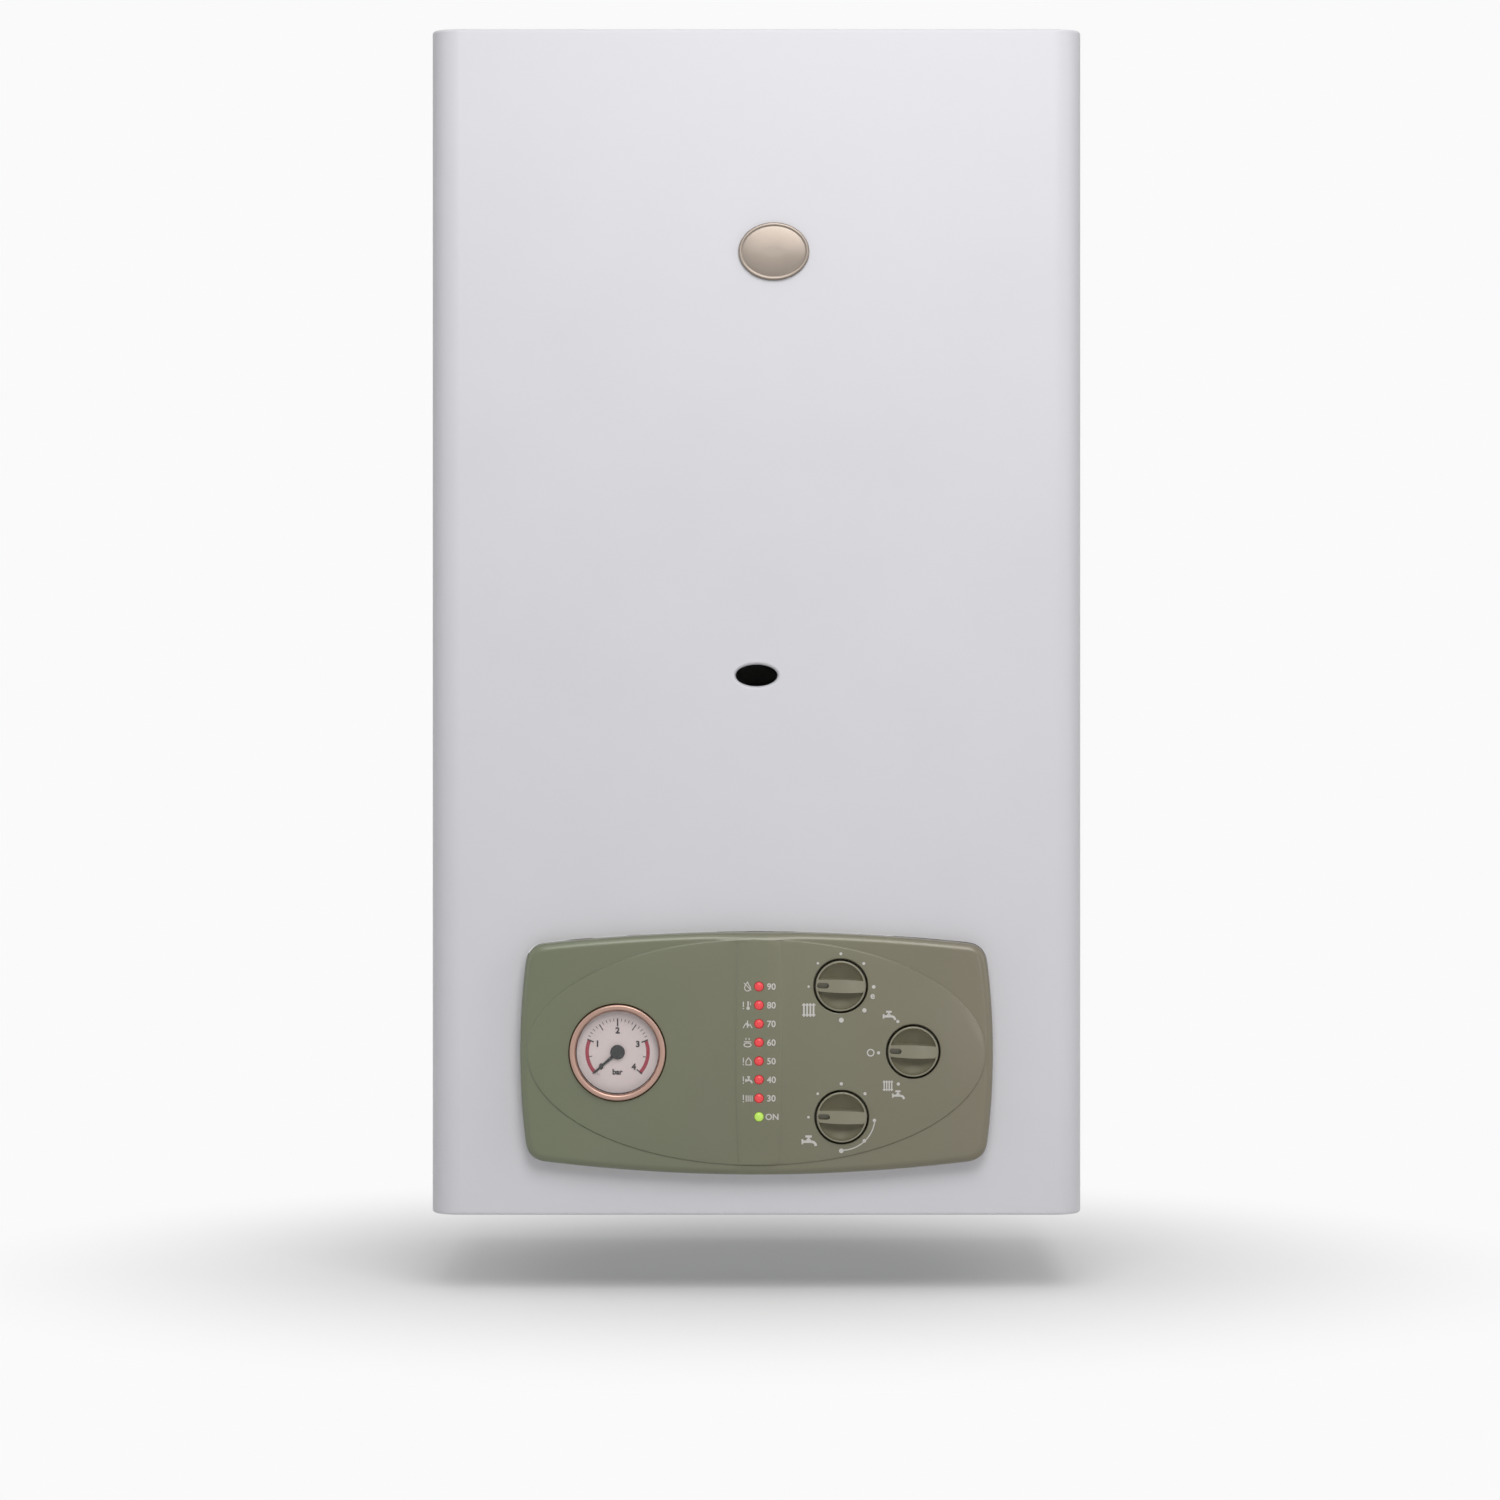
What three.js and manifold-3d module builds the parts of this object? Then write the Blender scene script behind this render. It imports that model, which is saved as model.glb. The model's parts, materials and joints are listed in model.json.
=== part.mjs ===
// A wall-hung combi boiler: a lift-off sheet casing, a tilting control panel with three knobs,
// status lamps and a pressure gauge, and behind them the frame, the room-sealed combustion
// chamber with its burner, exchanger and fan, and the hydraulic group.
// Millimetres. +X is to the right seen from the front, +Y goes into the wall, +Z is up.
// Heights are counted from the casing's bottom edge; the finished group hangs from the wall rail.

import * as THREE from 'three';
import { mergeVertices } from 'three/addons/utils/BufferGeometryUtils.js';
import Module from 'manifold-3d';

const wasm = await Module();
wasm.setup();

// ---------------------------------------------------------------- driving dimensions

const SEAT = 0.3; // gap between two pieces that rest on each other
const RUNNING = 0.3; // gap round a turning shaft
const SHEET = 1.2; // casing and chamber sheet steel
const FRAME_STEEL = 2;

// casing
const CASING_WIDTH = 450;
const CASING_HEIGHT = 820;
const CASING_DEPTH = 345;
const CASING_EDGE_RADIUS = 20;
const CASING_REAR_GAP = 12;
const CASING_REAR_RETURN = 9;
const TOP_FLANGE = 18;
const BOTTOM_FLANGE = 12;
const PEEPHOLE_Z = 373;
const PEEPHOLE_WIDTH = 29;
const PEEPHOLE_HEIGHT = 15;
const PEEPHOLE_LIP = 4;
const BADGE_X = 12;
const BADGE_Z = 666;
const BADGE_WIDTH = 49;
const BADGE_HEIGHT = 40;
const BADGE_THICKNESS = 2.4;

// control panel moulding
const PANEL_Z = 112.7;
const PANEL_HALF_WIDTH = 163;
const PANEL_SIDE_BULGE = 5.5;
const PANEL_TOP = 196;
const PANEL_TOP_BOW = 9;
const PANEL_BOTTOM = 29;
const PANEL_BOTTOM_BOW = 10.5;
const PANEL_CORNER = 12;
const PANEL_PROUD = 14;
const PANEL_RIM = 5;
const PANEL_CROWN = 3;
const PANEL_WALL = 2.5;
const PANEL_SKIRT = 4;
const PANEL_CLEARANCE = 1;
const FIELD_HALF_WIDTH = 158.5;
const FIELD_HALF_HEIGHT = 78.4;
const FIELD_Z = 113.8;
const FIELD_RAISE = 1;
const FIELD_STEP = 0.6;
const FIELD_MIDDLE = 0.55;
const BAND_X = 1.7;
const BAND_END_HALF_WIDTH = 14.5;
const BAND_MID_HALF_WIDTH = 16.6;
const BAND_RAISE = 0.8;

// panel hinge
const HINGE_FORWARD = 7;
const HINGE_Z = 46;
const HINGE_X = 142;
const BRACKET_THICKNESS = 3;
const BRACKET_EYE = 4;
const HINGE_PIN = 2.5;
const EAR_THICKNESS = 3.5;
const EAR_GAP = 2.5;
const EAR_RADIUS = 6;
const NOTCH_SIDE = 1; // room beside a bracket's arm
const NOTCH_FORWARD = 2; // room in front of the pin for the arm when the panel is tilted

// knobs
const WELL_RADIUS = 18.65;
const WELL_WALL = 1.5;
const WELL_FLOOR = 2;
const WELL_DEPTH = 13;
const KNOB_RADIUS = 17.3;
const KNOB_LENGTH = 10.5;
const KNOB_PROUD = 4.5;
const KNOB_RIM = 1;
const KNOB_BAR = 9;
const KNOB_BAR_END = 7.4;
const KNOB_BAR_ARCH = 1.6;
const KNOB_SCOOP = 7;
const KNOB_SCOOP_EDGE = 2.2;
const KNOB_HUB = 5.5;
const KNOB_SHAFT = 3;
const SLOT_LENGTH = 8.4;
const SLOT_WIDTH = 4.4;
const SLOT_DEPTH = 2;
const KNOBS = {
  heating: { x: 57.9, z: 159.5 },
  mode: { x: 107.8, z: 114.4 },
  hot_water: { x: 58.6, z: 69.3 },
};

// status lamps
const LAMP_RADIUS = 3;
const LAMP_PITCH = 12.8;
const LAMP_COUNT = 7;
const LAMP_TOP_Z = 159.2;
const LAMP_X = 1.7;
const LAMP_PROUD = 1.5;
const LAMP_CLEARANCE = 0.3;
const LAMP_SLACK = 0.75;

// pressure gauge
const GAUGE_X = -95.7;
const GAUGE_Z = 113.7;
const GAUGE_BEZEL = 33;
const GAUGE_VISIBLE = 28.5;
const GAUGE_CASE = 30;
const GAUGE_WALL = 1.5;
const GAUGE_DEPTH = 26;
const GAUGE_PROUD = 5.5;
const GAUGE_LEDGE = 5;
const NEEDLE_LENGTH = 21.8;
const NEEDLE_TAIL = 8;
const NEEDLE_HUB = 5;
const NEEDLE_SPINDLE = 1.2;
const NEEDLE_REST = 221; // degrees anticlockwise from +X, where the scale begins

// control box behind the panel
const BOX_HALF_WIDTH = 130;
const BOX_BOTTOM = 52;
const BOX_TOP = 172;
const BOX_DEPTH = 57;
const BOX_WALL = 2;
const BOX_POST = 12;
const BOARD_THICKNESS = 1.6;
const BOARD_STANDOFF = 31;

// frame
const HANG_HEIGHT = 780;
const FRAME_HALF_WIDTH = 212;
const FRAME_DEPTH = 114.7;
const RAIL_BACK_FLANGE = 40;
const RAIL_FRONT_FLANGE = 22;
const TOP_RAIL_HEIGHT = 40;
const TOP_RAIL_DEPTH = 20;
const HANG_SLOT_X = 150;
const HANG_SLOT_WIDTH = 24;
const HANG_SLOT_HEIGHT = 12;
const BASE_TOP = 36;
const BASE_HALF_WIDTH = 205;
const BASE_DEPTH = 262;
const BASE_FLANGE = 12;
const PIPE_PITCH = 65;
const PIPE_Y = -100;
const STUB_BOTTOM = 14;

// room-sealed chamber
const CHAMBER_HALF_WIDTH = 205;
const CHAMBER_BACK = -115;
const CHAMBER_FRONT = -295;
const CHAMBER_BOTTOM = 262;
const CHAMBER_TOP = 790;
const SIGHT_RADIUS = 17;
const COVER_LIP = 3;
const FIREBOX_HALF_WIDTH = 140;
const FIREBOX_FRONT = -280;
const FIREBOX_BOTTOM = 345;
const FIREBOX_TOP = 468;
const INSULATION = 12;
const ELECTRODE_X = 60;
const ELECTRODE_Z = 357;
const BURNER_BARS = 10;
const BURNER_PITCH = 24;
const BURNER_BAR_WIDTH = 9;
const BURNER_BOTTOM = 296;
const FIN_COUNT = 20;
const FIN_PITCH = 12.8;
const FIN_THICKNESS = 1.6;
const EXCHANGER_HEIGHT = 72;
const EXCHANGER_BACK = -128;
const EXCHANGER_FRONT = -272;
const TUBE_COUNT = 5;
const TUBE_PITCH = 30;
const TUBE_RADIUS = 8;
const HOOD_TOP = 705;
const HOOD_THROAT_Z = 590;
const HOOD_HEAD_HALF_WIDTH = 52;
const HOOD_HEAD_FRONT = -165;

// fan and flue
const FAN_X = -37;
const FAN_Z = 655;
const SCROLL_WIDTH = 50;
const SCROLL_START = 46;
const SCROLL_END = 62;
const OUTLET_HALF = 25;
const OUTLET_TOP = 742;
const WHEEL_RADIUS = 40;
const WHEEL_WIDTH = 34;
const WHEEL_BLADES = 14;
const FAN_EYE = 26;
const FAN_SHAFT = 3;
const MOTOR_RADIUS = 31;
const MOTOR_LENGTH = 40;
const FLUE_Y = -190;
const FLUE_BORE = 29;
const FLUE_SOCKET = 50;
const FLUE_FLANGE = 62;
const FLUE_TOP = 812;
const FLUE_WALL = 2;
const AIR_HOLE_RING = 39.5;
const AIR_HOLES = 4;
const AIR_HOLE = 7;

// expansion vessel
const VESSEL_RADIUS = 178;
const VESSEL_THICKNESS = 87;
const VESSEL_Z = 540;
const VESSEL_WALL = 2;

// hydraulic group
const BLOCK_BOTTOM = 70;
const BLOCK_TOP = 102;
const BLOCK_BACK = -85;
const BLOCK_FRONT = -125;
const HEATING_TAIL = 13;
const WATER_TAIL = 10.5;
const GAS_TAIL = 10.5;
const TAIL_WALL = 2.5;
const PUMP_Z = 150;
const PUMP_RADIUS = 38;
const PUMP_FRONT = -126;
const PUMP_BACK = -86;
const PUMP_MOTOR_RADIUS = 43;
const PUMP_MOTOR_LENGTH = 84;
const PUMP_SUCTION_RADIUS = 17;
const PUMP_DISCHARGE_RADIUS = 15;
const PUMP_DISCHARGE_TOP = 50;
const PUMP_VENT_X = 30;
const PUMP_VENT_RADIUS = 9;
const PUMP_VENT_TOP = 38;
const SERVICE_SPINDLE = 3;
const PLATES_HALF_WIDTH = 95;
const PLATES_BOTTOM = 80;
const PLATES_TOP = 155;
const PLATES_THICKNESS = 44;
const PLATE_COUNT = 9;
const VALVE_Y = -160;
const VALVE_BOTTOM = 130;
const VALVE_TOP = 215;
const PIPE_RADIUS = 9;
const RISER_X = 176;
const GAS_PIPE_RADIUS = 7.5;
const SMALL_PIPE_RADIUS = 5;
const PIPE_SIDES = 8;
const PIPE_BEND_STEPS = 3;
const HEATING_BEND = 19;
const GAS_INLET_BEND = 16;
const BURNER_GAS_BEND = 15;
const VESSEL_PIPE_BEND = 14;
const FLOW_CROSSING_Z = 226;
const RETURN_CROSSING_Z = 230;
const BURNER_GAS_CROSSING_Z = 240;
const GAS_INLET_TURN_LOW = 78;
const GAS_INLET_TURN_HIGH = 104;
const VESSEL_PIPE_X = -90;
const VESSEL_PIPE_CROSSING_Z = 200;
const VESSEL_PIPE_DROP_Z = 180;
const HOLE_CLEARANCE = 1.5;
const DIVERTER_TOP = 175;
const DIVERTER_RADIUS = 19;
const ACTUATOR_Z = 128;
const ACTUATOR_HALF = 22;
const ACTUATOR_DEPTH = 40;
const SAFETY_BODY = 26;
const SAFETY_CAP = 18;
const SAFETY_X = 88;
const SAFETY_Z = 85;
const FILL_TAP_X = 97.5;
const FILL_TAP_Y = -105;

// worked-out places
const FRONT = -CASING_DEPTH;
const PANEL_FACE = FRONT - PANEL_PROUD;
const HINGE_Y = FRONT - HINGE_FORWARD;
const KNOB_FACE = PANEL_FACE - KNOB_PROUD;
const WELL_BOTTOM = PANEL_FACE + WELL_DEPTH;
const BOX_FRONT = WELL_BOTTOM + SEAT;
const BOX_BACK = BOX_FRONT + BOX_DEPTH;
const BOARD_FRONT = BOX_BACK - BOX_WALL - BOARD_STANDOFF - SEAT - BOARD_THICKNESS;
const GAUGE_FACE = PANEL_FACE - GAUGE_PROUD;
const TAIL_LEFT_FLOW = -2 * PIPE_PITCH;
const TAIL_HOT = -PIPE_PITCH;
const TAIL_COLD = PIPE_PITCH;
const TAIL_RETURN = 2 * PIPE_PITCH;
const EXCHANGER_BOTTOM = FIREBOX_TOP + SEAT;
const EXCHANGER_TOP = EXCHANGER_BOTTOM + EXCHANGER_HEIGHT;
const TUBE_Z = EXCHANGER_BOTTOM + EXCHANGER_HEIGHT / 2;
const TUBE_FIRST_Y = (EXCHANGER_BACK + EXCHANGER_FRONT) / 2 + (TUBE_PITCH * (TUBE_COUNT - 1)) / 2;
const FLOW_RISER = { x: -RISER_X, y: TUBE_FIRST_Y, radius: PIPE_RADIUS };
const TUBE_LAST_Y = TUBE_FIRST_Y - TUBE_PITCH * (TUBE_COUNT - 1);
const RETURN_RISER = { x: RISER_X, y: TUBE_LAST_Y, radius: PIPE_RADIUS };
const SCROLL_BACK = HOOD_HEAD_FRONT - SEAT;
const SCROLL_FRONT = SCROLL_BACK - SCROLL_WIDTH;

// ---------------------------------------------------------------- solids

const WELD = 1e-4;
const X = new THREE.Vector3(1, 0, 0);
const Y = new THREE.Vector3(0, 1, 0);
const Z = new THREE.Vector3(0, 0, 1);
const PLANES = {
  xy: { basis: new THREE.Matrix4(), normal: Z, sign: 1 },
  xz: { basis: new THREE.Matrix4().makeBasis(X, Z, Y.clone().negate()), normal: Y, sign: -1 },
  yz: { basis: new THREE.Matrix4().makeBasis(Y, Z, X), normal: X, sign: 1 },
};

// A closed geometry as a solid that can be joined and cut.
function solid(geometry) {
  const bare = geometry.clone();
  bare.deleteAttribute('normal');
  bare.deleteAttribute('uv');
  const merged = mergeVertices(bare, WELD);
  const corners = merged.index.array;
  const triangles = [];
  for (let i = 0; i < corners.length; i += 3) {
    const [a, b, c] = [corners[i], corners[i + 1], corners[i + 2]];
    if (a !== b && b !== c && c !== a) triangles.push(a, b, c);
  }
  const vertProperties = Float32Array.from(merged.attributes.position.array);
  const triVerts = Uint32Array.from(triangles);
  return new wasm.Manifold(new wasm.Mesh({ numProp: 3, vertProperties, triVerts }));
}

function join(...solids) {
  return solids.reduce((whole, piece) => whole.add(piece));
}

function cut(whole, ...tools) {
  return tools.reduce((rest, tool) => rest.subtract(tool), whole);
}

// A block between two corners.
function block(x0, x1, y0, y1, z0, z1) {
  const geometry = new THREE.BoxGeometry(Math.abs(x1 - x0), Math.abs(y1 - y0), Math.abs(z1 - z0));
  geometry.translate((x0 + x1) / 2, (y0 + y1) / 2, (z0 + z1) / 2);
  return solid(geometry);
}

// A profile of [radius, distance] pairs turned about an axis from a point.
function revolve(profile, origin, axis, sides = 20) {
  const points = profile.map(([radius, along]) => new THREE.Vector2(radius, along));
  const geometry = new THREE.LatheGeometry(points, sides);
  geometry.applyQuaternion(new THREE.Quaternion().setFromUnitVectors(Y, axis));
  geometry.translate(...origin);
  const turned = solid(geometry);
  return turned.volume() < 0 ? solid(flipped(geometry)) : turned;
}

function flipped(geometry) {
  const turned = geometry.clone();
  const index = turned.index.array;
  for (let i = 0; i < index.length; i += 3) {
    [index[i], index[i + 1]] = [index[i + 1], index[i]];
  }
  return turned;
}

// Round work gets more facets as it grows.
function facets(radius) {
  return 2 * Math.round(THREE.MathUtils.clamp(3.5 + radius / 5, 4, 14));
}

// A round bar between two points, which may taper.
function rod(from, to, radius, sides = facets(radius), endRadius = radius) {
  const a = new THREE.Vector3(...from);
  const b = new THREE.Vector3(...to);
  const length = a.distanceTo(b);
  const geometry = new THREE.CylinderGeometry(endRadius, radius, length, sides);
  geometry.translate(0, length / 2, 0);
  const direction = b.clone().sub(a).normalize();
  geometry.applyQuaternion(new THREE.Quaternion().setFromUnitVectors(Y, direction));
  geometry.translate(a.x, a.y, a.z);
  return solid(geometry);
}

function barX(x0, x1, y, z, radius, sides) {
  return rod([x0, y, z], [x1, y, z], radius, sides);
}

function barY(y0, y1, x, z, radius, sides) {
  return rod([x, y0, z], [x, y1, z], radius, sides);
}

function barZ(z0, z1, x, y, radius, sides) {
  return rod([x, y, z0], [x, y, z1], radius, sides);
}

// A flat outline extruded along the normal of its plane.
function extrude(shape, plane, from, to, curveSegments = 3) {
  const { basis, normal, sign } = PLANES[plane];
  const options = { depth: to - from, bevelEnabled: false, curveSegments };
  const geometry = new THREE.ExtrudeGeometry(shape, options);
  geometry.applyMatrix4(basis);
  const start = sign > 0 ? from : to;
  geometry.translate(normal.x * start, normal.y * start, normal.z * start);
  return solid(geometry);
}

function outline(points) {
  return new THREE.Shape(points.map(([u, v]) => new THREE.Vector2(u, v)));
}

function slotOutline(u, v, length, width) {
  const reach = (length - width) / 2;
  const shape = new THREE.Shape();
  shape.absarc(u + reach, v, width / 2, -Math.PI / 2, Math.PI / 2, false);
  shape.absarc(u - reach, v, width / 2, Math.PI / 2, (3 * Math.PI) / 2, false);
  return shape;
}

function ellipseOutline(u, v, halfWidth, halfHeight) {
  const shape = new THREE.Shape();
  shape.absellipse(u, v, halfWidth, halfHeight, 0, 2 * Math.PI, false, 0);
  return shape;
}

// Rings of equal count skinned one to the next and closed by a fan at each end.
function loft(rings) {
  const positions = [];
  const index = [];
  const count = rings[0].length;
  rings.forEach((ring) => ring.forEach((point) => positions.push(...point)));
  for (let r = 0; r + 1 < rings.length; r += 1) {
    for (let i = 0; i < count; i += 1) {
      const a = r * count + i;
      const b = r * count + ((i + 1) % count);
      index.push(a, b, a + count, b, b + count, a + count);
    }
  }
  const addFan = (ring, offset, reversed) => {
    const centre = positions.length / 3;
    const sum = ring.reduce((s, p) => [s[0] + p[0], s[1] + p[1], s[2] + p[2]], [0, 0, 0]);
    positions.push(...sum.map((value) => value / count));
    for (let i = 0; i < count; i += 1) {
      const [a, b] = [offset + i, offset + ((i + 1) % count)];
      if (reversed) index.push(centre, a, b);
      else index.push(centre, b, a);
    }
  };
  addFan(rings[0], 0, false);
  addFan(rings[rings.length - 1], (rings.length - 1) * count, true);
  const geometry = new THREE.BufferGeometry();
  geometry.setAttribute('position', new THREE.Float32BufferAttribute(positions, 3));
  geometry.setIndex(index);
  const made = solid(geometry);
  return made.volume() < 0 ? solid(flipped(geometry)) : made;
}

// A pipe's route: straight runs joined by bends, with a station at each end and round each bend.
class PipeRoute extends THREE.Curve {
  constructor(points, bend) {
    super();
    const corners = points.map((point) => new THREE.Vector3(...point));
    this.stations = [corners[0]];
    for (let i = 1; i + 1 < corners.length; i += 1) {
      const before = corners[i - 1].clone().sub(corners[i]).setLength(bend).add(corners[i]);
      const after = corners[i + 1].clone().sub(corners[i]).setLength(bend).add(corners[i]);
      const turn = new THREE.QuadraticBezierCurve3(before, corners[i], after);
      this.stations.push(...turn.getPoints(PIPE_BEND_STEPS));
    }
    this.stations.push(corners[corners.length - 1]);
  }

  getPoint(t) {
    const place = t * (this.stations.length - 1);
    const i = Math.min(Math.round(place), this.stations.length - 1);
    return this.stations[i].clone();
  }

  getPointAt(u) {
    return this.getPoint(u);
  }

  getTangentAt(u) {
    const last = this.stations.length - 1;
    const i = Math.round(u * last);
    const before = this.stations[Math.max(i - 1, 0)];
    const after = this.stations[Math.min(i + 1, last)];
    return after.clone().sub(before).normalize();
  }
}

function pipe(points, radius, bend) {
  const route = new PipeRoute(points, bend);
  const section = new THREE.Shape();
  section.absarc(0, 0, radius, 0, 2 * Math.PI, false);
  const options = { steps: route.stations.length - 1, curveSegments: PIPE_SIDES / 2, extrudePath: route };
  return solid(new THREE.ExtrudeGeometry(section, options));
}

// ---------------------------------------------------------------- finishes

function finish(color, roughness, metalness = 0, extra = {}) {
  return new THREE.MeshStandardMaterial({ color, roughness, metalness, ...extra });
}

const FINISHES = {
  casing: () => finish(0xe4e2e8, 0.42),
  pewter: () => finish(0x8d857c, 0.35, 0.8),
  fascia: () => finish(0x7b7d67, 0.5),
  knob: () => finish(0x7d7a66, 0.42),
  lampRed: () => finish(0xdd4145, 0.3),
  lampGreen: () => finish(0x9fc64a, 0.3),
  bezel: () => finish(0xc9a795, 0.3, 0.9),
  dial: () => finish(0xf0dfdc, 0.6),
  black: () => finish(0x1a1a1c, 0.45),
  glass: () => finish(0xeef4f5, 0.05, 0, { transparent: true, opacity: 0.3 }),
  boxPlastic: () => finish(0x3a3b3d, 0.6),
  board: () => finish(0x2f6b3c, 0.55),
  zinc: () => finish(0xb4b8bb, 0.38, 0.85),
  aluminised: () => finish(0xa7a9aa, 0.45, 0.85),
  ceramicFibre: () => finish(0xe6e0d2, 0.95),
  stainless: () => finish(0xbfc1c2, 0.3, 0.9),
  copper: () => finish(0xb46a45, 0.35, 0.9),
  brass: () => finish(0xb99a52, 0.35, 0.9),
  castAlu: () => finish(0xa5a7a6, 0.5, 0.75),
  castIron: () => finish(0x4a4d50, 0.6, 0.5),
  vesselRed: () => finish(0xa32a22, 0.45),
  ceramic: () => finish(0xf1ede2, 0.35),
  rubber: () => finish(0x202022, 0.85),
  capRed: () => finish(0xb32320, 0.45),
  capBlue: () => finish(0x24467f, 0.5),
  greyPlastic: () => finish(0x8c8f92, 0.55),
};

function piece(name, shape, finishName) {
  const { vertProperties, triVerts } = shape.getMesh();
  const geometry = new THREE.BufferGeometry();
  geometry.setAttribute('position', new THREE.BufferAttribute(Float32Array.from(vertProperties), 3));
  geometry.setIndex(new THREE.BufferAttribute(Uint32Array.from(triVerts), 1));
  geometry.computeVertexNormals();
  const mesh = new THREE.Mesh(geometry, FINISHES[finishName]());
  mesh.name = name;
  return mesh;
}

// ---------------------------------------------------------------- control panel outline

// The moulding's outline seen from the front: four bowed sides and four soft corners.
function panelOutline(inset = 0) {
  const sideEnd = PANEL_HALF_WIDTH - PANEL_SIDE_BULGE;
  const corners = [
    [-sideEnd, PANEL_BOTTOM + PANEL_BOTTOM_BOW],
    [sideEnd, PANEL_BOTTOM + PANEL_BOTTOM_BOW],
    [sideEnd, PANEL_TOP - PANEL_TOP_BOW],
    [-sideEnd, PANEL_TOP - PANEL_TOP_BOW],
  ].map(([x, z]) => [x - Math.sign(x) * inset, z - Math.sign(z - PANEL_Z) * inset]);
  const bows = [
    [0, -PANEL_BOTTOM_BOW],
    [PANEL_SIDE_BULGE, 0],
    [0, PANEL_TOP_BOW],
    [-PANEL_SIDE_BULGE, 0],
  ];
  const radius = Math.max(PANEL_CORNER - inset, 1);
  const points = [];
  const onSide = (side, t) => {
    const [from, to] = [corners[side], corners[(side + 1) % 4]];
    const swell = 4 * t * (1 - t);
    const [bowX, bowZ] = bows[side];
    const along = [from[0] + (to[0] - from[0]) * t, from[1] + (to[1] - from[1]) * t];
    return [along[0] + bowX * swell, along[1] + bowZ * swell];
  };
  const sideLength = (side) => Math.hypot(
    corners[(side + 1) % 4][0] - corners[side][0],
    corners[(side + 1) % 4][1] - corners[side][1],
  );
  for (let side = 0; side < 4; side += 1) {
    const steps = side % 2 ? 4 : 8;
    const margin = radius / sideLength(side);
    for (let i = 0; i <= steps; i += 1) {
      points.push(onSide(side, margin + ((1 - 2 * margin) * i) / steps));
    }
    const next = (side + 1) % 4;
    const start = onSide(side, 1 - margin);
    const end = onSide(next, radius / sideLength(next));
    const corner = new THREE.QuadraticBezierCurve(
      new THREE.Vector2(...start),
      new THREE.Vector2(...corners[next]),
      new THREE.Vector2(...end),
    );
    corner.getPoints(3).slice(1, -1).forEach((point) => points.push([point.x, point.y]));
  }
  return points;
}

function ringAt(y, inset) {
  return panelOutline(inset).map(([x, z]) => [x, y, z]);
}

// A ring of the raised oval field, each point straight inward from a point of the outline.
function fieldRing(y, halfWidth, halfHeight) {
  return panelOutline().map(([x, z]) => {
    const [u, v] = [x / halfWidth, (z - FIELD_Z) / halfHeight];
    const share = 1 / Math.hypot(u, v);
    return [x * share, y, FIELD_Z + (z - FIELD_Z) * share];
  });
}

function crownAt(share) {
  return PANEL_CROWN * (1 - share ** 2);
}

// The rings of the front skin, from the crowned field over its step and the rim to the skirt.
function frontSkin(skirtEnd) {
  const [a, b] = [FIELD_HALF_WIDTH, FIELD_HALF_HEIGHT];
  const middle = FIELD_MIDDLE;
  const edge = 0.95;
  const rings = [
    fieldRing(PANEL_FACE - FIELD_RAISE - crownAt(middle), a * middle, b * middle),
    fieldRing(PANEL_FACE - FIELD_RAISE - crownAt(edge), a - FIELD_STEP, b - FIELD_STEP),
    fieldRing(PANEL_FACE - crownAt(edge), a, b),
  ];
  const rimSteps = 3;
  for (let i = 0; i <= rimSteps; i += 1) {
    const angle = (Math.PI / 2) * (i / rimSteps);
    const inset = PANEL_RIM * (1 - Math.sin(angle));
    rings.push(ringAt(PANEL_FACE + PANEL_RIM * (1 - Math.cos(angle)), inset));
  }
  rings.push(ringAt(skirtEnd, 0));
  return rings;
}

function backSkin(skirtEnd) {
  const [a, b] = [FIELD_HALF_WIDTH * FIELD_MIDDLE, FIELD_HALF_HEIGHT * FIELD_MIDDLE];
  const inside = PANEL_FACE + PANEL_WALL;
  return [
    ringAt(skirtEnd, PANEL_WALL),
    ringAt(PANEL_FACE + PANEL_RIM, PANEL_WALL),
    ringAt(inside, PANEL_RIM),
    fieldRing(inside - crownAt(FIELD_MIDDLE), a, b),
  ];
}

function panelShell(raise = 0) {
  const skirtEnd = FRONT + PANEL_SKIRT;
  const rings = [...frontSkin(skirtEnd), ...backSkin(skirtEnd)];
  return loft(rings.map((ring) => ring.map(([x, y, z]) => [x, y - raise, z])));
}

// ---------------------------------------------------------------- casing

function casingSection() {
  const half = CASING_WIDTH / 2;
  const shape = new THREE.Shape();
  const innerRadius = CASING_EDGE_RADIUS - SHEET;
  const back = -CASING_REAR_GAP;
  shape.moveTo(-half + CASING_REAR_RETURN, back);
  shape.lineTo(-half, back);
  shape.lineTo(-half, FRONT + CASING_EDGE_RADIUS);
  shape.absarc(-half + CASING_EDGE_RADIUS, FRONT + CASING_EDGE_RADIUS, CASING_EDGE_RADIUS,
    Math.PI, 1.5 * Math.PI, false);
  shape.absarc(half - CASING_EDGE_RADIUS, FRONT + CASING_EDGE_RADIUS, CASING_EDGE_RADIUS,
    1.5 * Math.PI, 2 * Math.PI, false);
  shape.lineTo(half, back);
  shape.lineTo(half - CASING_REAR_RETURN, back);
  shape.lineTo(half - CASING_REAR_RETURN, back - SHEET);
  shape.lineTo(half - SHEET, back - SHEET);
  shape.absarc(half - CASING_EDGE_RADIUS, FRONT + CASING_EDGE_RADIUS, innerRadius, 0, -Math.PI / 2, true);
  shape.absarc(-half + CASING_EDGE_RADIUS, FRONT + CASING_EDGE_RADIUS, innerRadius,
    -Math.PI / 2, -Math.PI, true);
  shape.lineTo(-half + SHEET, back - SHEET);
  shape.lineTo(-half + CASING_REAR_RETURN, back - SHEET);
  return shape;
}

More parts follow.
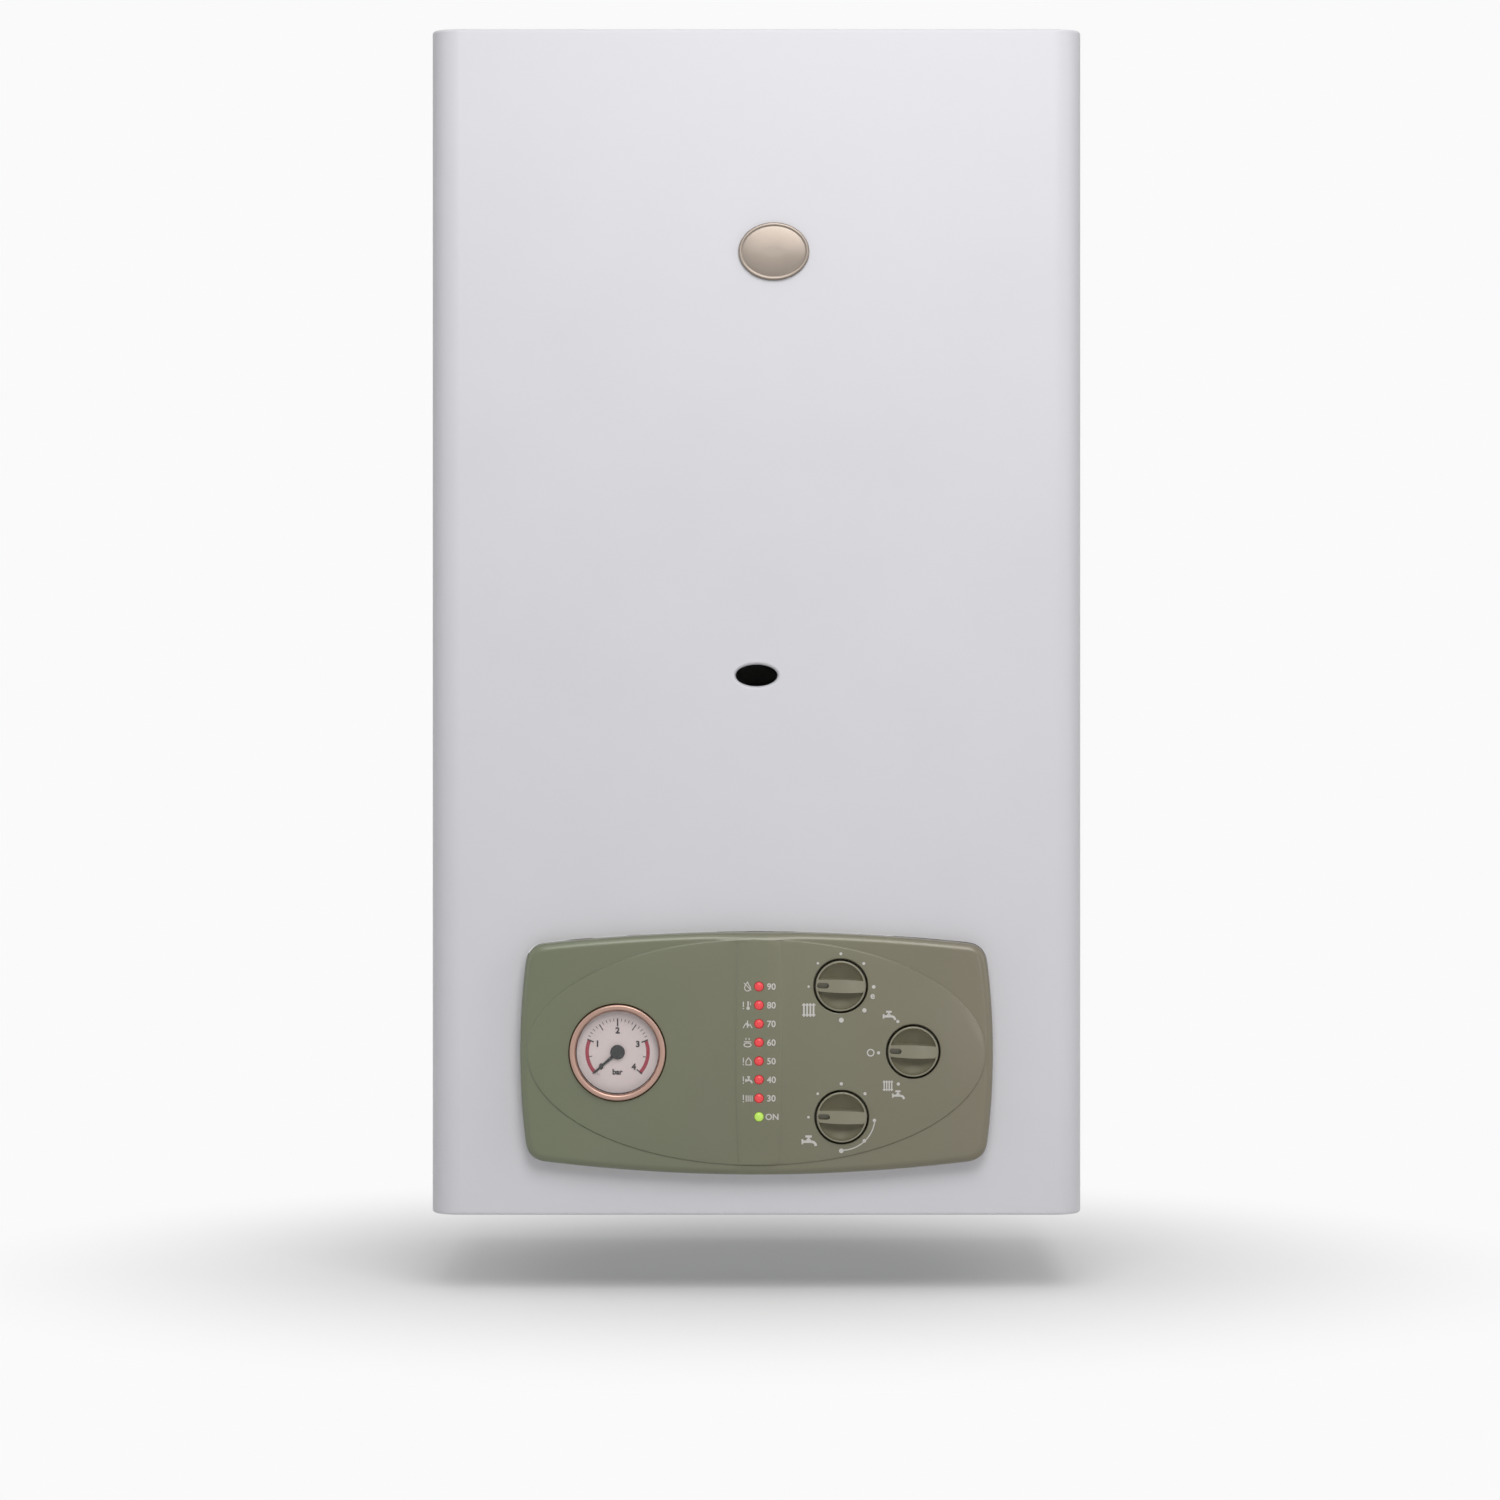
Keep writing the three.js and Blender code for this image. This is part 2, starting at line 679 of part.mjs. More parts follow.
// A turned-in edge that follows the casing's front and sides.
function casingFlange(width, z0, z1) {
  const half = CASING_WIDTH / 2 - SHEET / 2;
  const front = FRONT + SHEET / 2;
  const radius = CASING_EDGE_RADIUS - SHEET / 2;
  const shape = new THREE.Shape();
  const back = -CASING_REAR_GAP - SHEET / 2;
  shape.moveTo(-half, back);
  shape.lineTo(-half, front + radius);
  shape.absarc(-half + radius, front + radius, radius, Math.PI, 1.5 * Math.PI, false);
  shape.absarc(half - radius, front + radius, radius, 1.5 * Math.PI, 2 * Math.PI, false);
  shape.lineTo(half, back);
  shape.lineTo(half - width, back);
  shape.lineTo(half - width, front + width);
  shape.lineTo(-half + width, front + width);
  shape.lineTo(-half + width, back);
  return extrude(shape, 'xy', z0, z1);
}

function ellipseTaper(y0, y1, halfWidth0, halfHeight0, halfWidth1, halfHeight1) {
  const ring = (y, a, b) => Array.from({ length: 18 }, (_, i) => {
    const angle = (2 * Math.PI * i) / 18;
    return [a * Math.cos(angle), y, PEEPHOLE_Z + b * Math.sin(angle)];
  });
  return loft([ring(y0, halfWidth0, halfHeight0), ring(y1, halfWidth1, halfHeight1)]);
}

function makeCasing() {
  const sheet = extrude(casingSection(), 'xy', 0, CASING_HEIGHT);
  const top = casingFlange(TOP_FLANGE, CASING_HEIGHT - SHEET, CASING_HEIGHT);
  const bottom = casingFlange(BOTTOM_FLANGE, 0, SHEET);
  const [a, b] = [PEEPHOLE_WIDTH / 2, PEEPHOLE_HEIGHT / 2];
  const deep = FRONT + PEEPHOLE_LIP;
  const lip = ellipseTaper(FRONT, deep, a + SHEET + 2, b + SHEET + 2, a + SHEET, b + SHEET);
  const hole = ellipseTaper(FRONT - 0.01, deep + 0.01, a + 2, b + 2, a, b);
  const opening = extrude(outline(panelOutline(-PANEL_CLEARANCE)), 'xz', FRONT - SHEET, FRONT + 2 * SHEET);
  const shell = cut(join(sheet, top, bottom, lip), hole, opening);
  return [
    piece('casing_shell', shell, 'casing'),
    piece('casing_badge', makeBadge(), 'pewter'),
  ];
}

function makeBadge() {
  const ring = (y, shrink) => Array.from({ length: 24 }, (_, i) => {
    const angle = (2 * Math.PI * i) / 24;
    const [a, b] = [BADGE_WIDTH / 2 - shrink, BADGE_HEIGHT / 2 - shrink];
    return [BADGE_X + a * Math.cos(angle), y, BADGE_Z + b * Math.sin(angle)];
  });
  const back = FRONT - SEAT;
  const face = back - BADGE_THICKNESS;
  return loft([ring(back, 0), ring(face + 0.8, 0), ring(face, 1), ring(face - 0.5, 12)]);
}

// ---------------------------------------------------------------- control panel

function bandOutline() {
  const [top, bottom] = [FIELD_Z + FIELD_HALF_HEIGHT + 2, FIELD_Z - FIELD_HALF_HEIGHT - 2];
  const shape = new THREE.Shape();
  const bulge = BAND_X + 2 * BAND_MID_HALF_WIDTH - BAND_END_HALF_WIDTH;
  const dent = BAND_X - 2 * BAND_MID_HALF_WIDTH + BAND_END_HALF_WIDTH;
  shape.moveTo(BAND_X - BAND_END_HALF_WIDTH, bottom);
  shape.lineTo(BAND_X + BAND_END_HALF_WIDTH, bottom);
  shape.quadraticCurveTo(bulge, FIELD_Z, BAND_X + BAND_END_HALF_WIDTH, top);
  shape.lineTo(BAND_X - BAND_END_HALF_WIDTH, top);
  shape.quadraticCurveTo(dent, FIELD_Z, BAND_X - BAND_END_HALF_WIDTH, bottom);
  return shape;
}

function lampHeights() {
  return Array.from({ length: LAMP_COUNT + 1 }, (_, i) => LAMP_TOP_Z - i * LAMP_PITCH);
}

function boxPostPlaces() {
  const x = BOX_HALF_WIDTH - BOX_POST / 2;
  return [
    [-x, BOX_BOTTOM + BOX_POST / 2],
    [x, BOX_BOTTOM + BOX_POST / 2],
    [-x, BOX_TOP - BOX_POST / 2],
    [x, BOX_TOP - BOX_POST / 2],
  ];
}

function hingeEar(x0, x1) {
  const insideFace = PANEL_FACE + PANEL_WALL / 2;
  const eye = barX(x0, x1, HINGE_Y, HINGE_Z, EAR_RADIUS, 10);
  const web = block(x0, x1, insideFace, HINGE_Y, HINGE_Z - EAR_RADIUS, HINGE_Z + EAR_RADIUS);
  return join(eye, web);
}

function makeFascia() {
  const tooDeep = -CASING_DEPTH - 60;
  const oval = ellipseOutline(0, FIELD_Z, FIELD_HALF_WIDTH - 1, FIELD_HALF_HEIGHT - 1);
  const field = extrude(oval, 'xz', tooDeep, FRONT, 16);
  const band = extrude(bandOutline(), 'xz', tooDeep, FRONT, 6);
  const raisedBand = panelShell(BAND_RAISE).intersect(band.intersect(field));
  const inside = PANEL_FACE + PANEL_WALL / 2;
  const wells = Object.values(KNOBS).map(({ x, z }) => (
    barY(inside, WELL_BOTTOM, x, z, WELL_RADIUS + WELL_WALL, 16)
  ));
  const ledgeBack = PANEL_FACE + GAUGE_LEDGE + PANEL_WALL;
  const gaugeCollar = barY(inside, ledgeBack, GAUGE_X, GAUGE_Z, GAUGE_BEZEL + 0.5 + WELL_WALL, 20);
  const bosses = boxPostPlaces().map(([x, z]) => barY(inside, BOX_FRONT - SEAT, x, z, 4, 6));
  const reach = BRACKET_THICKNESS / 2 + EAR_GAP;
  const ears = [-1, 1].flatMap((side) => [-1, 1].map((way) => {
    const near = side * HINGE_X + way * reach;
    const far = near + way * EAR_THICKNESS;
    return hingeEar(Math.min(near, far), Math.max(near, far));
  }));
  const shell = join(panelShell(), raisedBand, ...wells, gaugeCollar, ...bosses, ...ears);
  const front = PANEL_FACE - 30;
  const floorFront = WELL_BOTTOM - WELL_FLOOR;
  const knobHoles = Object.values(KNOBS).flatMap(({ x, z }) => [
    barY(front, floorFront, x, z, WELL_RADIUS, 24),
    barY(front, WELL_BOTTOM + 1, x, z, KNOB_HUB + 2 * RUNNING, 10),
  ]);
  const gaugeHole = barY(front, PANEL_FACE + GAUGE_LEDGE, GAUGE_X, GAUGE_Z, GAUGE_BEZEL + 0.5, 28);
  const gaugeBore = barY(front, ledgeBack + 1, GAUGE_X, GAUGE_Z, GAUGE_CASE + 0.4, 28);
  const lampHole = LAMP_RADIUS + LAMP_CLEARANCE;
  const lampHoles = lampHeights().map((z) => barY(front, FRONT, LAMP_X, z, lampHole, 8));
  const pinHoles = [-1, 1].map((side) => (
    barX(side * HINGE_X - 12, side * HINGE_X + 12, HINGE_Y, HINGE_Z, HINGE_PIN + RUNNING, 10)
  ));
  const notchHalf = BRACKET_THICKNESS / 2 + NOTCH_SIDE;
  const [notchFront, notchBack] = [HINGE_Y - NOTCH_FORWARD, FRONT + PANEL_SKIRT + 1];
  const notchTop = HINGE_Z + BRACKET_EYE + NOTCH_SIDE;
  const notches = [-1, 1].map((side) => {
    const [x0, x1] = [side * HINGE_X - notchHalf, side * HINGE_X + notchHalf];
    return block(x0, x1, notchFront, notchBack, PANEL_BOTTOM, notchTop);
  });
  return cut(shell, ...knobHoles, gaugeHole, gaugeBore, ...lampHoles, ...pinHoles, ...notches);
}

function lampSeat() {
  const crown = crownAt(FIELD_MIDDLE);
  return {
    backing: PANEL_FACE + PANEL_WALL - crown + LAMP_SLACK,
    face: PANEL_FACE - crown - FIELD_RAISE - BAND_RAISE,
  };
}

function makeLampStrip() {
  const heights = lampHeights().slice(0, LAMP_COUNT);
  const { backing, face } = lampSeat();
  const [low, high] = [heights[LAMP_COUNT - 1] - 5, heights[0] + 5];
  const strip = block(LAMP_X - 5, LAMP_X + 5, backing, backing + 2.5, low, high);
  const domes = heights.map((z) => lampDome(z, backing + 1, face));
  return join(strip, ...domes);
}

function lampDome(z, from, face) {
  const profile = [
    [0, 0],
    [LAMP_RADIUS, 0],
    [LAMP_RADIUS, from - face],
    [LAMP_RADIUS * 0.78, from - face + LAMP_PROUD * 0.7],
    [0, from - face + LAMP_PROUD],
  ];
  return revolve(profile, [LAMP_X, from, z], Y.clone().negate(), 8);
}

function makePowerLamp() {
  const z = lampHeights()[LAMP_COUNT];
  const { backing, face } = lampSeat();
  const flange = barY(backing, backing + 2.5, LAMP_X, z, LAMP_RADIUS + 1.5, 12);
  return join(flange, lampDome(z, backing + 1, face));
}

// ---------------------------------------------------------------- knobs

function knobGripBar(x, z) {
  const half = KNOB_BAR / 2;
  const end = KNOB_BAR_END / 2;
  const shape = new THREE.Shape();
  shape.moveTo(x - KNOB_RADIUS, z - end);
  shape.quadraticCurveTo(x, z - 2 * half + end, x + KNOB_RADIUS, z - end);
  shape.lineTo(x + KNOB_RADIUS, z + end);
  shape.quadraticCurveTo(x, z + 2 * half - end, x - KNOB_RADIUS, z + end);
  const slab = extrude(shape, 'xz', KNOB_FACE - KNOB_BAR_ARCH, KNOB_FACE + KNOB_LENGTH, 5);
  const archRadius = (KNOB_RADIUS ** 2 + KNOB_BAR_ARCH ** 2) / (2 * KNOB_BAR_ARCH);
  const arch = barZ(z - KNOB_BAR, z + KNOB_BAR, x, KNOB_FACE - KNOB_BAR_ARCH + archRadius, archRadius, 80);
  const round = barY(KNOB_FACE - 5, KNOB_FACE + KNOB_LENGTH, x, z, KNOB_RADIUS, 24);
  return slab.intersect(arch).intersect(round);
}

// The scooped pocket on one side of the grip bar, shallow at the rim and deep at the bar.
function knobScoop(x, z, side) {
  const shape = new THREE.Shape();
  const inner = z;
  const outer = z + side * (KNOB_RADIUS - KNOB_RIM);
  shape.moveTo(KNOB_FACE - 3, inner);
  shape.lineTo(KNOB_FACE + KNOB_SCOOP, inner);
  shape.lineTo(KNOB_FACE + KNOB_SCOOP, z + side * KNOB_BAR * 0.5);
  shape.quadraticCurveTo(KNOB_FACE + KNOB_SCOOP * 0.9, z + side * KNOB_RADIUS * 0.72,
    KNOB_FACE + KNOB_SCOOP_EDGE, outer);
  shape.lineTo(KNOB_FACE - 3, outer);
  return extrude(shape, 'yz', x - KNOB_RADIUS, x + KNOB_RADIUS, 5);
}

function makeKnob(x, z) {
  const cap = barY(KNOB_FACE, KNOB_FACE + KNOB_LENGTH, x, z, KNOB_RADIUS, 24);
  const dish = barY(KNOB_FACE - 4, KNOB_FACE + KNOB_LENGTH, x, z, KNOB_RADIUS - KNOB_RIM, 24);
  const scoops = [-1, 1].map((side) => knobScoop(x, z, side).intersect(dish));
  const slotX = x - KNOB_RADIUS + KNOB_RIM + SLOT_LENGTH / 2 - 0.4;
  const slot = extrude(slotOutline(slotX, z, SLOT_LENGTH, SLOT_WIDTH), 'xz',
    KNOB_FACE - KNOB_BAR_ARCH - 1, KNOB_FACE + SLOT_DEPTH, 5);
  const hubEnd = WELL_BOTTOM + 3;
  const hub = barY(KNOB_FACE + KNOB_LENGTH - 1, hubEnd, x, z, KNOB_HUB, 16);
  const shaft = barY(hubEnd - 1, BOARD_FRONT - 3, x, z, KNOB_SHAFT, 12);
  const body = join(cut(cap, ...scoops), knobGripBar(x, z), hub, shaft);
  return cut(body, slot);
}

function makeKnobs() {
  return Object.entries(KNOBS).map(([name, { x, z }]) => piece(`knob_${name}`, makeKnob(x, z), 'knob'));
}

// ---------------------------------------------------------------- pressure gauge

function makeGauge() {
  const toFront = Y.clone().negate();
  const at = [GAUGE_X, 0, GAUGE_Z];
  const rimFront = GAUGE_FACE + 4.4;
  const caseBack = rimFront + GAUGE_DEPTH;
  const movementFront = rimFront + 4;
  const caseBody = join(
    barY(rimFront, caseBack, GAUGE_X, GAUGE_Z, GAUGE_CASE, 28),
    barY(caseBack - 1, caseBack + 9, GAUGE_X, GAUGE_Z, 5, 6),
  );
  const gaugeCase = cut(caseBody,
    barY(rimFront - 1, movementFront, GAUGE_X, GAUGE_Z, GAUGE_CASE - GAUGE_WALL, 28),
    barY(rimFront - 1, movementFront + 9, GAUGE_X, GAUGE_Z, NEEDLE_SPINDLE + RUNNING, 8));
  const dialRadius = GAUGE_CASE - GAUGE_WALL - SEAT;
  const dial = cut(
    barY(movementFront - SEAT - 1, movementFront - SEAT, GAUGE_X, GAUGE_Z, dialRadius, 28),
    barY(movementFront - 4, movementFront + 1, GAUGE_X, GAUGE_Z, NEEDLE_SPINDLE + RUNNING, 8));
  const lens = barY(rimFront - SEAT - 1.5, rimFront - SEAT, GAUGE_X, GAUGE_Z, GAUGE_CASE - SEAT, 28);
  const bezelBack = PANEL_FACE + GAUGE_LEDGE - SEAT;
  const lipBack = rimFront - SEAT - 1.5 - SEAT;
  const bezelProfile = [
    [GAUGE_CASE + SEAT, -bezelBack],
    [GAUGE_BEZEL, -bezelBack],
    [GAUGE_BEZEL, -(GAUGE_FACE + 1.5)],
    [GAUGE_BEZEL - 1.2, -GAUGE_FACE],
    [GAUGE_VISIBLE + 1.6, -GAUGE_FACE],
    [GAUGE_VISIBLE, -(GAUGE_FACE + 1.4)],
    [GAUGE_VISIBLE, -lipBack],
    [GAUGE_CASE + SEAT, -lipBack],
    [GAUGE_CASE + SEAT, -bezelBack],
  ];
  const bezel = revolve(bezelProfile, at, toFront, 28);
  return [
    piece('gauge_case', gaugeCase, 'black'),
    piece('gauge_dial', dial, 'dial'),
    piece('gauge_lens', lens, 'glass'),
    piece('gauge_bezel', bezel, 'bezel'),
    piece('gauge_needle', makeNeedle(movementFront - SEAT - 1), 'black'),
  ];
}

function makeNeedle(dialFace) {
  const turn = THREE.MathUtils.degToRad(NEEDLE_REST);
  const along = ([u, v]) => [
    GAUGE_X + u * Math.cos(turn) - v * Math.sin(turn),
    GAUGE_Z + u * Math.sin(turn) + v * Math.cos(turn),
  ];
  const blade = outline([
    [-NEEDLE_TAIL, -1.6],
    [0, -1.2],
    [NEEDLE_LENGTH, -0.35],
    [NEEDLE_LENGTH, 0.35],
    [0, 1.2],
    [-NEEDLE_TAIL, 1.6],
  ].map(along));
  const hub = barY(dialFace - 2.2, dialFace - 0.5, GAUGE_X, GAUGE_Z, NEEDLE_HUB, 20);
  const spindle = barY(dialFace - 1, dialFace + 9, GAUGE_X, GAUGE_Z, NEEDLE_SPINDLE, 10);
  return join(extrude(blade, 'xz', dialFace - 1.6, dialFace - 0.8), hub, spindle);
}

// ---------------------------------------------------------------- control box

function makeControlBox() {
  const outer = block(-BOX_HALF_WIDTH, BOX_HALF_WIDTH, BOX_FRONT, BOX_BACK, BOX_BOTTOM, BOX_TOP);
  const clear = BOX_HALF_WIDTH - BOX_WALL;
  const [innerLow, innerHigh] = [BOX_BOTTOM + BOX_WALL, BOX_TOP - BOX_WALL];
  const inner = block(-clear, clear, BOX_FRONT - 1, BOX_BACK - BOX_WALL, innerLow, innerHigh);
  const half = BOX_POST / 2;
  const posts = boxPostPlaces().map(([x, z]) => (
    block(x - half, x + half, BOX_FRONT, BOX_BACK, z - half, z + half)
  ));
  const standoffFront = BOX_BACK - BOX_WALL - BOARD_STANDOFF;
  const standoffs = boardCorners().map(([x, z]) => barY(standoffFront, BOX_BACK - 1, x, z, 3.5));
  return join(cut(outer, inner), ...posts, ...standoffs);
}

function boardCorners() {
  return [[-46, 64], [108, 64], [-46, 162], [108, 162]];
}

function makeBoard() {
  const back = BOARD_FRONT + BOARD_THICKNESS;
  const board = block(-52, 114, BOARD_FRONT, back, 58, 168);
  const controls = Object.values(KNOBS).map(({ x, z }) => (
    barY(BOARD_FRONT - 9, BOARD_FRONT + 0.5, x, z, 9)
  ));
  const bores = Object.values(KNOBS).map(({ x, z }) => (
    barY(BOARD_FRONT - 10, BOARD_FRONT - 2, x, z, KNOB_SHAFT + RUNNING)
  ));
  const transformer = block(-38, -2, BOARD_FRONT - 18, BOARD_FRONT + 0.5, 64, 98);
  const relays = [0, 1, 2].map((i) => (
    block(-36 + i * 12, -27 + i * 12, BOARD_FRONT - 15, BOARD_FRONT + 0.5, 118, 140)
  ));
  const terminals = block(20, 90, back - 0.5, back + 14, 100, 114);
  return cut(join(board, ...controls, transformer, ...relays, terminals), ...bores);
}

// ---------------------------------------------------------------- frame

// A side rail: a deep channel that carries the chamber on its front flange.
function makeSideRail(side) {
  const out = FRAME_HALF_WIDTH;
  const section = outline([
    [side * (out - RAIL_BACK_FLANGE), 0],
    [side * out, 0],
    [side * out, -FRAME_DEPTH],
    [side * (out - RAIL_FRONT_FLANGE), -FRAME_DEPTH],
    [side * (out - RAIL_FRONT_FLANGE), -FRAME_DEPTH + FRAME_STEEL],
    [side * (out - FRAME_STEEL), -FRAME_DEPTH + FRAME_STEEL],
    [side * (out - FRAME_STEEL), -FRAME_STEEL],
    [side * (out - RAIL_BACK_FLANGE), -FRAME_STEEL],
  ]);
  return extrude(section, 'xy', BASE_TOP + SEAT, HANG_HEIGHT - TOP_RAIL_HEIGHT / 2 - SEAT);
}

function channelAcross(halfWidth, z0, z1, depth) {
  const outer = block(-halfWidth, halfWidth, -depth, 0, z0, z1);
  const [low, high] = [z0 + FRAME_STEEL, z1 - FRAME_STEEL];
  const hollow = block(-halfWidth - 1, halfWidth + 1, -depth - 1, -FRAME_STEEL, low, high);
  return cut(outer, hollow);
}

function makeTopRail() {
  const rail = channelAcross(FRAME_HALF_WIDTH, HANG_HEIGHT - TOP_RAIL_HEIGHT / 2,
    HANG_HEIGHT + TOP_RAIL_HEIGHT / 2, TOP_RAIL_DEPTH);
  const slots = [-1, 1].map((side) => {
    const hole = slotOutline(side * HANG_SLOT_X, HANG_HEIGHT, HANG_SLOT_WIDTH, HANG_SLOT_HEIGHT);
    return extrude(hole, 'xz', -FRAME_STEEL - 1, 1, 6);
  });
  return cut(rail, ...slots);
}

function tailPlaces() {
  return [
    { x: TAIL_LEFT_FLOW, radius: HEATING_TAIL },
    { x: TAIL_HOT, radius: WATER_TAIL },
    { x: 0, radius: GAS_TAIL },
    { x: TAIL_COLD, radius: WATER_TAIL },
    { x: TAIL_RETURN, radius: HEATING_TAIL },
  ];
}

function makeBasePlate() {
  const half = BASE_HALF_WIDTH;
  const sheet = block(-half, half, -BASE_DEPTH, 0, BASE_TOP - FRAME_STEEL, BASE_TOP);
  const low = BASE_TOP - BASE_FLANGE;
  const frontFlange = block(-half, half, -BASE_DEPTH, -BASE_DEPTH + FRAME_STEEL, low, BASE_TOP);
  const sideFlanges = [-1, 1].map((side) => (
    block(side * (half - FRAME_STEEL), side * half, -BASE_DEPTH, 0, low, BASE_TOP)
  ));
  const ears = [-1, 1].map((side) => (
    block(side * (half - 1), side * FRAME_HALF_WIDTH, -FRAME_DEPTH, 0, BASE_TOP - FRAME_STEEL, BASE_TOP)
  ));
  const holes = tailPlaces().map(({ x, radius }) => (
    barZ(low, BASE_TOP + 5, x, PIPE_Y, radius + HOLE_CLEARANCE)
  ));
  const tapHole = barZ(low, BASE_TOP + 5, FILL_TAP_X, FILL_TAP_Y, 5);
  return cut(join(sheet, frontFlange, ...sideFlanges, ...ears), ...holes, tapHole);
}

// An arm that stands on the base plate and carries the panel on its pin.
function makePanelBracket(side) {
  const x0 = side * HINGE_X - BRACKET_THICKNESS / 2;
  const x1 = x0 + BRACKET_THICKNESS;
  const foot = BASE_TOP + SEAT;
  const rear = -BASE_DEPTH + 55;
  const arm = outline([
    [HINGE_Y, HINGE_Z - BRACKET_EYE],
    [-BASE_DEPTH - 4, HINGE_Z - BRACKET_EYE],
    [-BASE_DEPTH + 2, foot],
    [rear, foot],
    [rear, HINGE_Z + BRACKET_EYE - 4],
    [-BASE_DEPTH, HINGE_Z + BRACKET_EYE],
    [HINGE_Y, HINGE_Z + BRACKET_EYE],
  ]);
  const blade = extrude(arm, 'yz', x0, x1);
  const eye = barX(x0, x1, HINGE_Y, HINGE_Z, BRACKET_EYE);
  const footPlate = block(side * HINGE_X, side * (HINGE_X + 20), -BASE_DEPTH + 4, rear, foot, foot + 2);
  const pinReach = BRACKET_THICKNESS / 2 + EAR_GAP + EAR_THICKNESS + 0.5;
  const pin = barX(side * HINGE_X - pinReach, side * HINGE_X + pinReach, HINGE_Y, HINGE_Z, HINGE_PIN);
  return join(blade, eye, footPlate, pin);
}

function makeFrame() {
  const clear = FRAME_HALF_WIDTH - RAIL_BACK_FLANGE - SEAT;
  const midRail = channelAcross(clear, VESSEL_Z - 20, VESSEL_Z + 20, TOP_RAIL_DEPTH);
  return [
    piece('frame_left_rail', makeSideRail(-1), 'zinc'),
    piece('frame_right_rail', makeSideRail(1), 'zinc'),
    piece('frame_top_rail', makeTopRail(), 'zinc'),
    piece('frame_mid_rail', midRail, 'zinc'),
    piece('frame_base_plate', makeBasePlate(), 'zinc'),
    piece('panel_bracket_left', makePanelBracket(-1), 'zinc'),
    piece('panel_bracket_right', makePanelBracket(1), 'zinc'),
  ];
}

// ---------------------------------------------------------------- chamber

function makeChamberWrap() {
  const half = CHAMBER_HALF_WIDTH;
  const inner = half - SHEET;
  const sideFront = CHAMBER_FRONT + SEAT;
  const section = outline([
    [-half, sideFront],
    [-inner, sideFront],
    [-inner, CHAMBER_BACK - SHEET],
    [inner, CHAMBER_BACK - SHEET],
    [inner, sideFront],
    [half, sideFront],
    [half, CHAMBER_BACK],
    [-half, CHAMBER_BACK],
  ]);
  return extrude(section, 'xy', CHAMBER_BOTTOM + SEAT, CHAMBER_TOP - SHEET - SEAT);
}

function airHoles(z0, z1) {
  return Array.from({ length: AIR_HOLES }, (_, i) => {
    const angle = (2 * Math.PI * i) / AIR_HOLES;
    const [x, y] = [AIR_HOLE_RING * Math.cos(angle), FLUE_Y + AIR_HOLE_RING * Math.sin(angle)];
    return barZ(z0, z1, x, y, AIR_HOLE, 6);
  });
}

function makeChamber() {
  const half = CHAMBER_HALF_WIDTH;
  const front = CHAMBER_FRONT + SEAT;
  const topPlate = cut(block(-half, half, front, CHAMBER_BACK, CHAMBER_TOP - SHEET, CHAMBER_TOP),
    barZ(CHAMBER_TOP - 5, CHAMBER_TOP + 5, 0, FLUE_Y, FLUE_BORE),
    ...airHoles(CHAMBER_TOP - 5, CHAMBER_TOP + 5));
  const bottomPlate = cut(block(-half, half, front, CHAMBER_BACK, CHAMBER_BOTTOM - SHEET, CHAMBER_BOTTOM),
    ...chamberPipePlaces().map(({ x, y, radius }) => (
      barZ(CHAMBER_BOTTOM - 5, CHAMBER_BOTTOM + 5, x, y, radius + HOLE_CLEARANCE)
    )));
  return [
    piece('chamber_wrap', makeChamberWrap(), 'zinc'),
    piece('chamber_top_plate', topPlate, 'zinc'),
    piece('chamber_bottom_plate', bottomPlate, 'zinc'),
    piece('chamber_cover', makeChamberCover(), 'zinc'),
    piece('sight_glass', makeSightGlass(), 'glass'),
  ];
}

// A shallow lid that fits over the chamber's open front.
function makeChamberCover() {
  const half = CHAMBER_HALF_WIDTH + SEAT;
  const [low, high] = [CHAMBER_BOTTOM - SHEET - SEAT, CHAMBER_TOP + SEAT];
  const face = CHAMBER_FRONT - SHEET;
  const lid = block(-half - SHEET, half + SHEET, face, CHAMBER_FRONT + COVER_LIP, low - SHEET, high + SHEET);
  const hollow = block(-half, half, CHAMBER_FRONT, CHAMBER_FRONT + COVER_LIP + 1, low, high);
  const window = barY(face - 1, CHAMBER_FRONT + 1, 0, PEEPHOLE_Z, SIGHT_RADIUS);
  return cut(lid, hollow, window);
}

function makeSightGlass() {
  const back = CHAMBER_FRONT - SHEET - SEAT;
  return barY(back - 3, back, 0, PEEPHOLE_Z, SIGHT_RADIUS + 6);
}

function makeFirebox() {
  const half = FIREBOX_HALF_WIDTH;
  const back = CHAMBER_BACK - SHEET - SEAT;
  const outer = block(-half, half, FIREBOX_FRONT, back, FIREBOX_BOTTOM, FIREBOX_TOP);
  const inner = block(-half + SHEET, half - SHEET, FIREBOX_FRONT + SHEET, back - SHEET,
    FIREBOX_BOTTOM - 1, FIREBOX_TOP + 1);
  const view = barY(FIREBOX_FRONT - 1, FIREBOX_FRONT + 3, 0, PEEPHOLE_Z, SIGHT_RADIUS - 3);
  const electrodeHole = barY(FIREBOX_FRONT - 1, FIREBOX_FRONT + 3, ELECTRODE_X, ELECTRODE_Z, 5);
  return cut(outer, inner, view, electrodeHole);
}

function makeInsulation() {
  const skin = SHEET + SEAT;
  const half = FIREBOX_HALF_WIDTH - skin;
  const back = CHAMBER_BACK - SHEET - SEAT - skin;
  const front = FIREBOX_FRONT + skin;
  const outer = block(-half, half, front, back, FIREBOX_BOTTOM, FIREBOX_TOP);
  const inner = block(-half + INSULATION, half - INSULATION, front + INSULATION, back - INSULATION,
    FIREBOX_BOTTOM - 1, FIREBOX_TOP + 1);
  const view = barY(front - 1, front + INSULATION + 1, 0, PEEPHOLE_Z, SIGHT_RADIUS - 3);
  const electrodeHole = barY(front - 1, front + INSULATION + 1, ELECTRODE_X, ELECTRODE_Z, 5);
  return cut(outer, inner, view, electrodeHole);
}

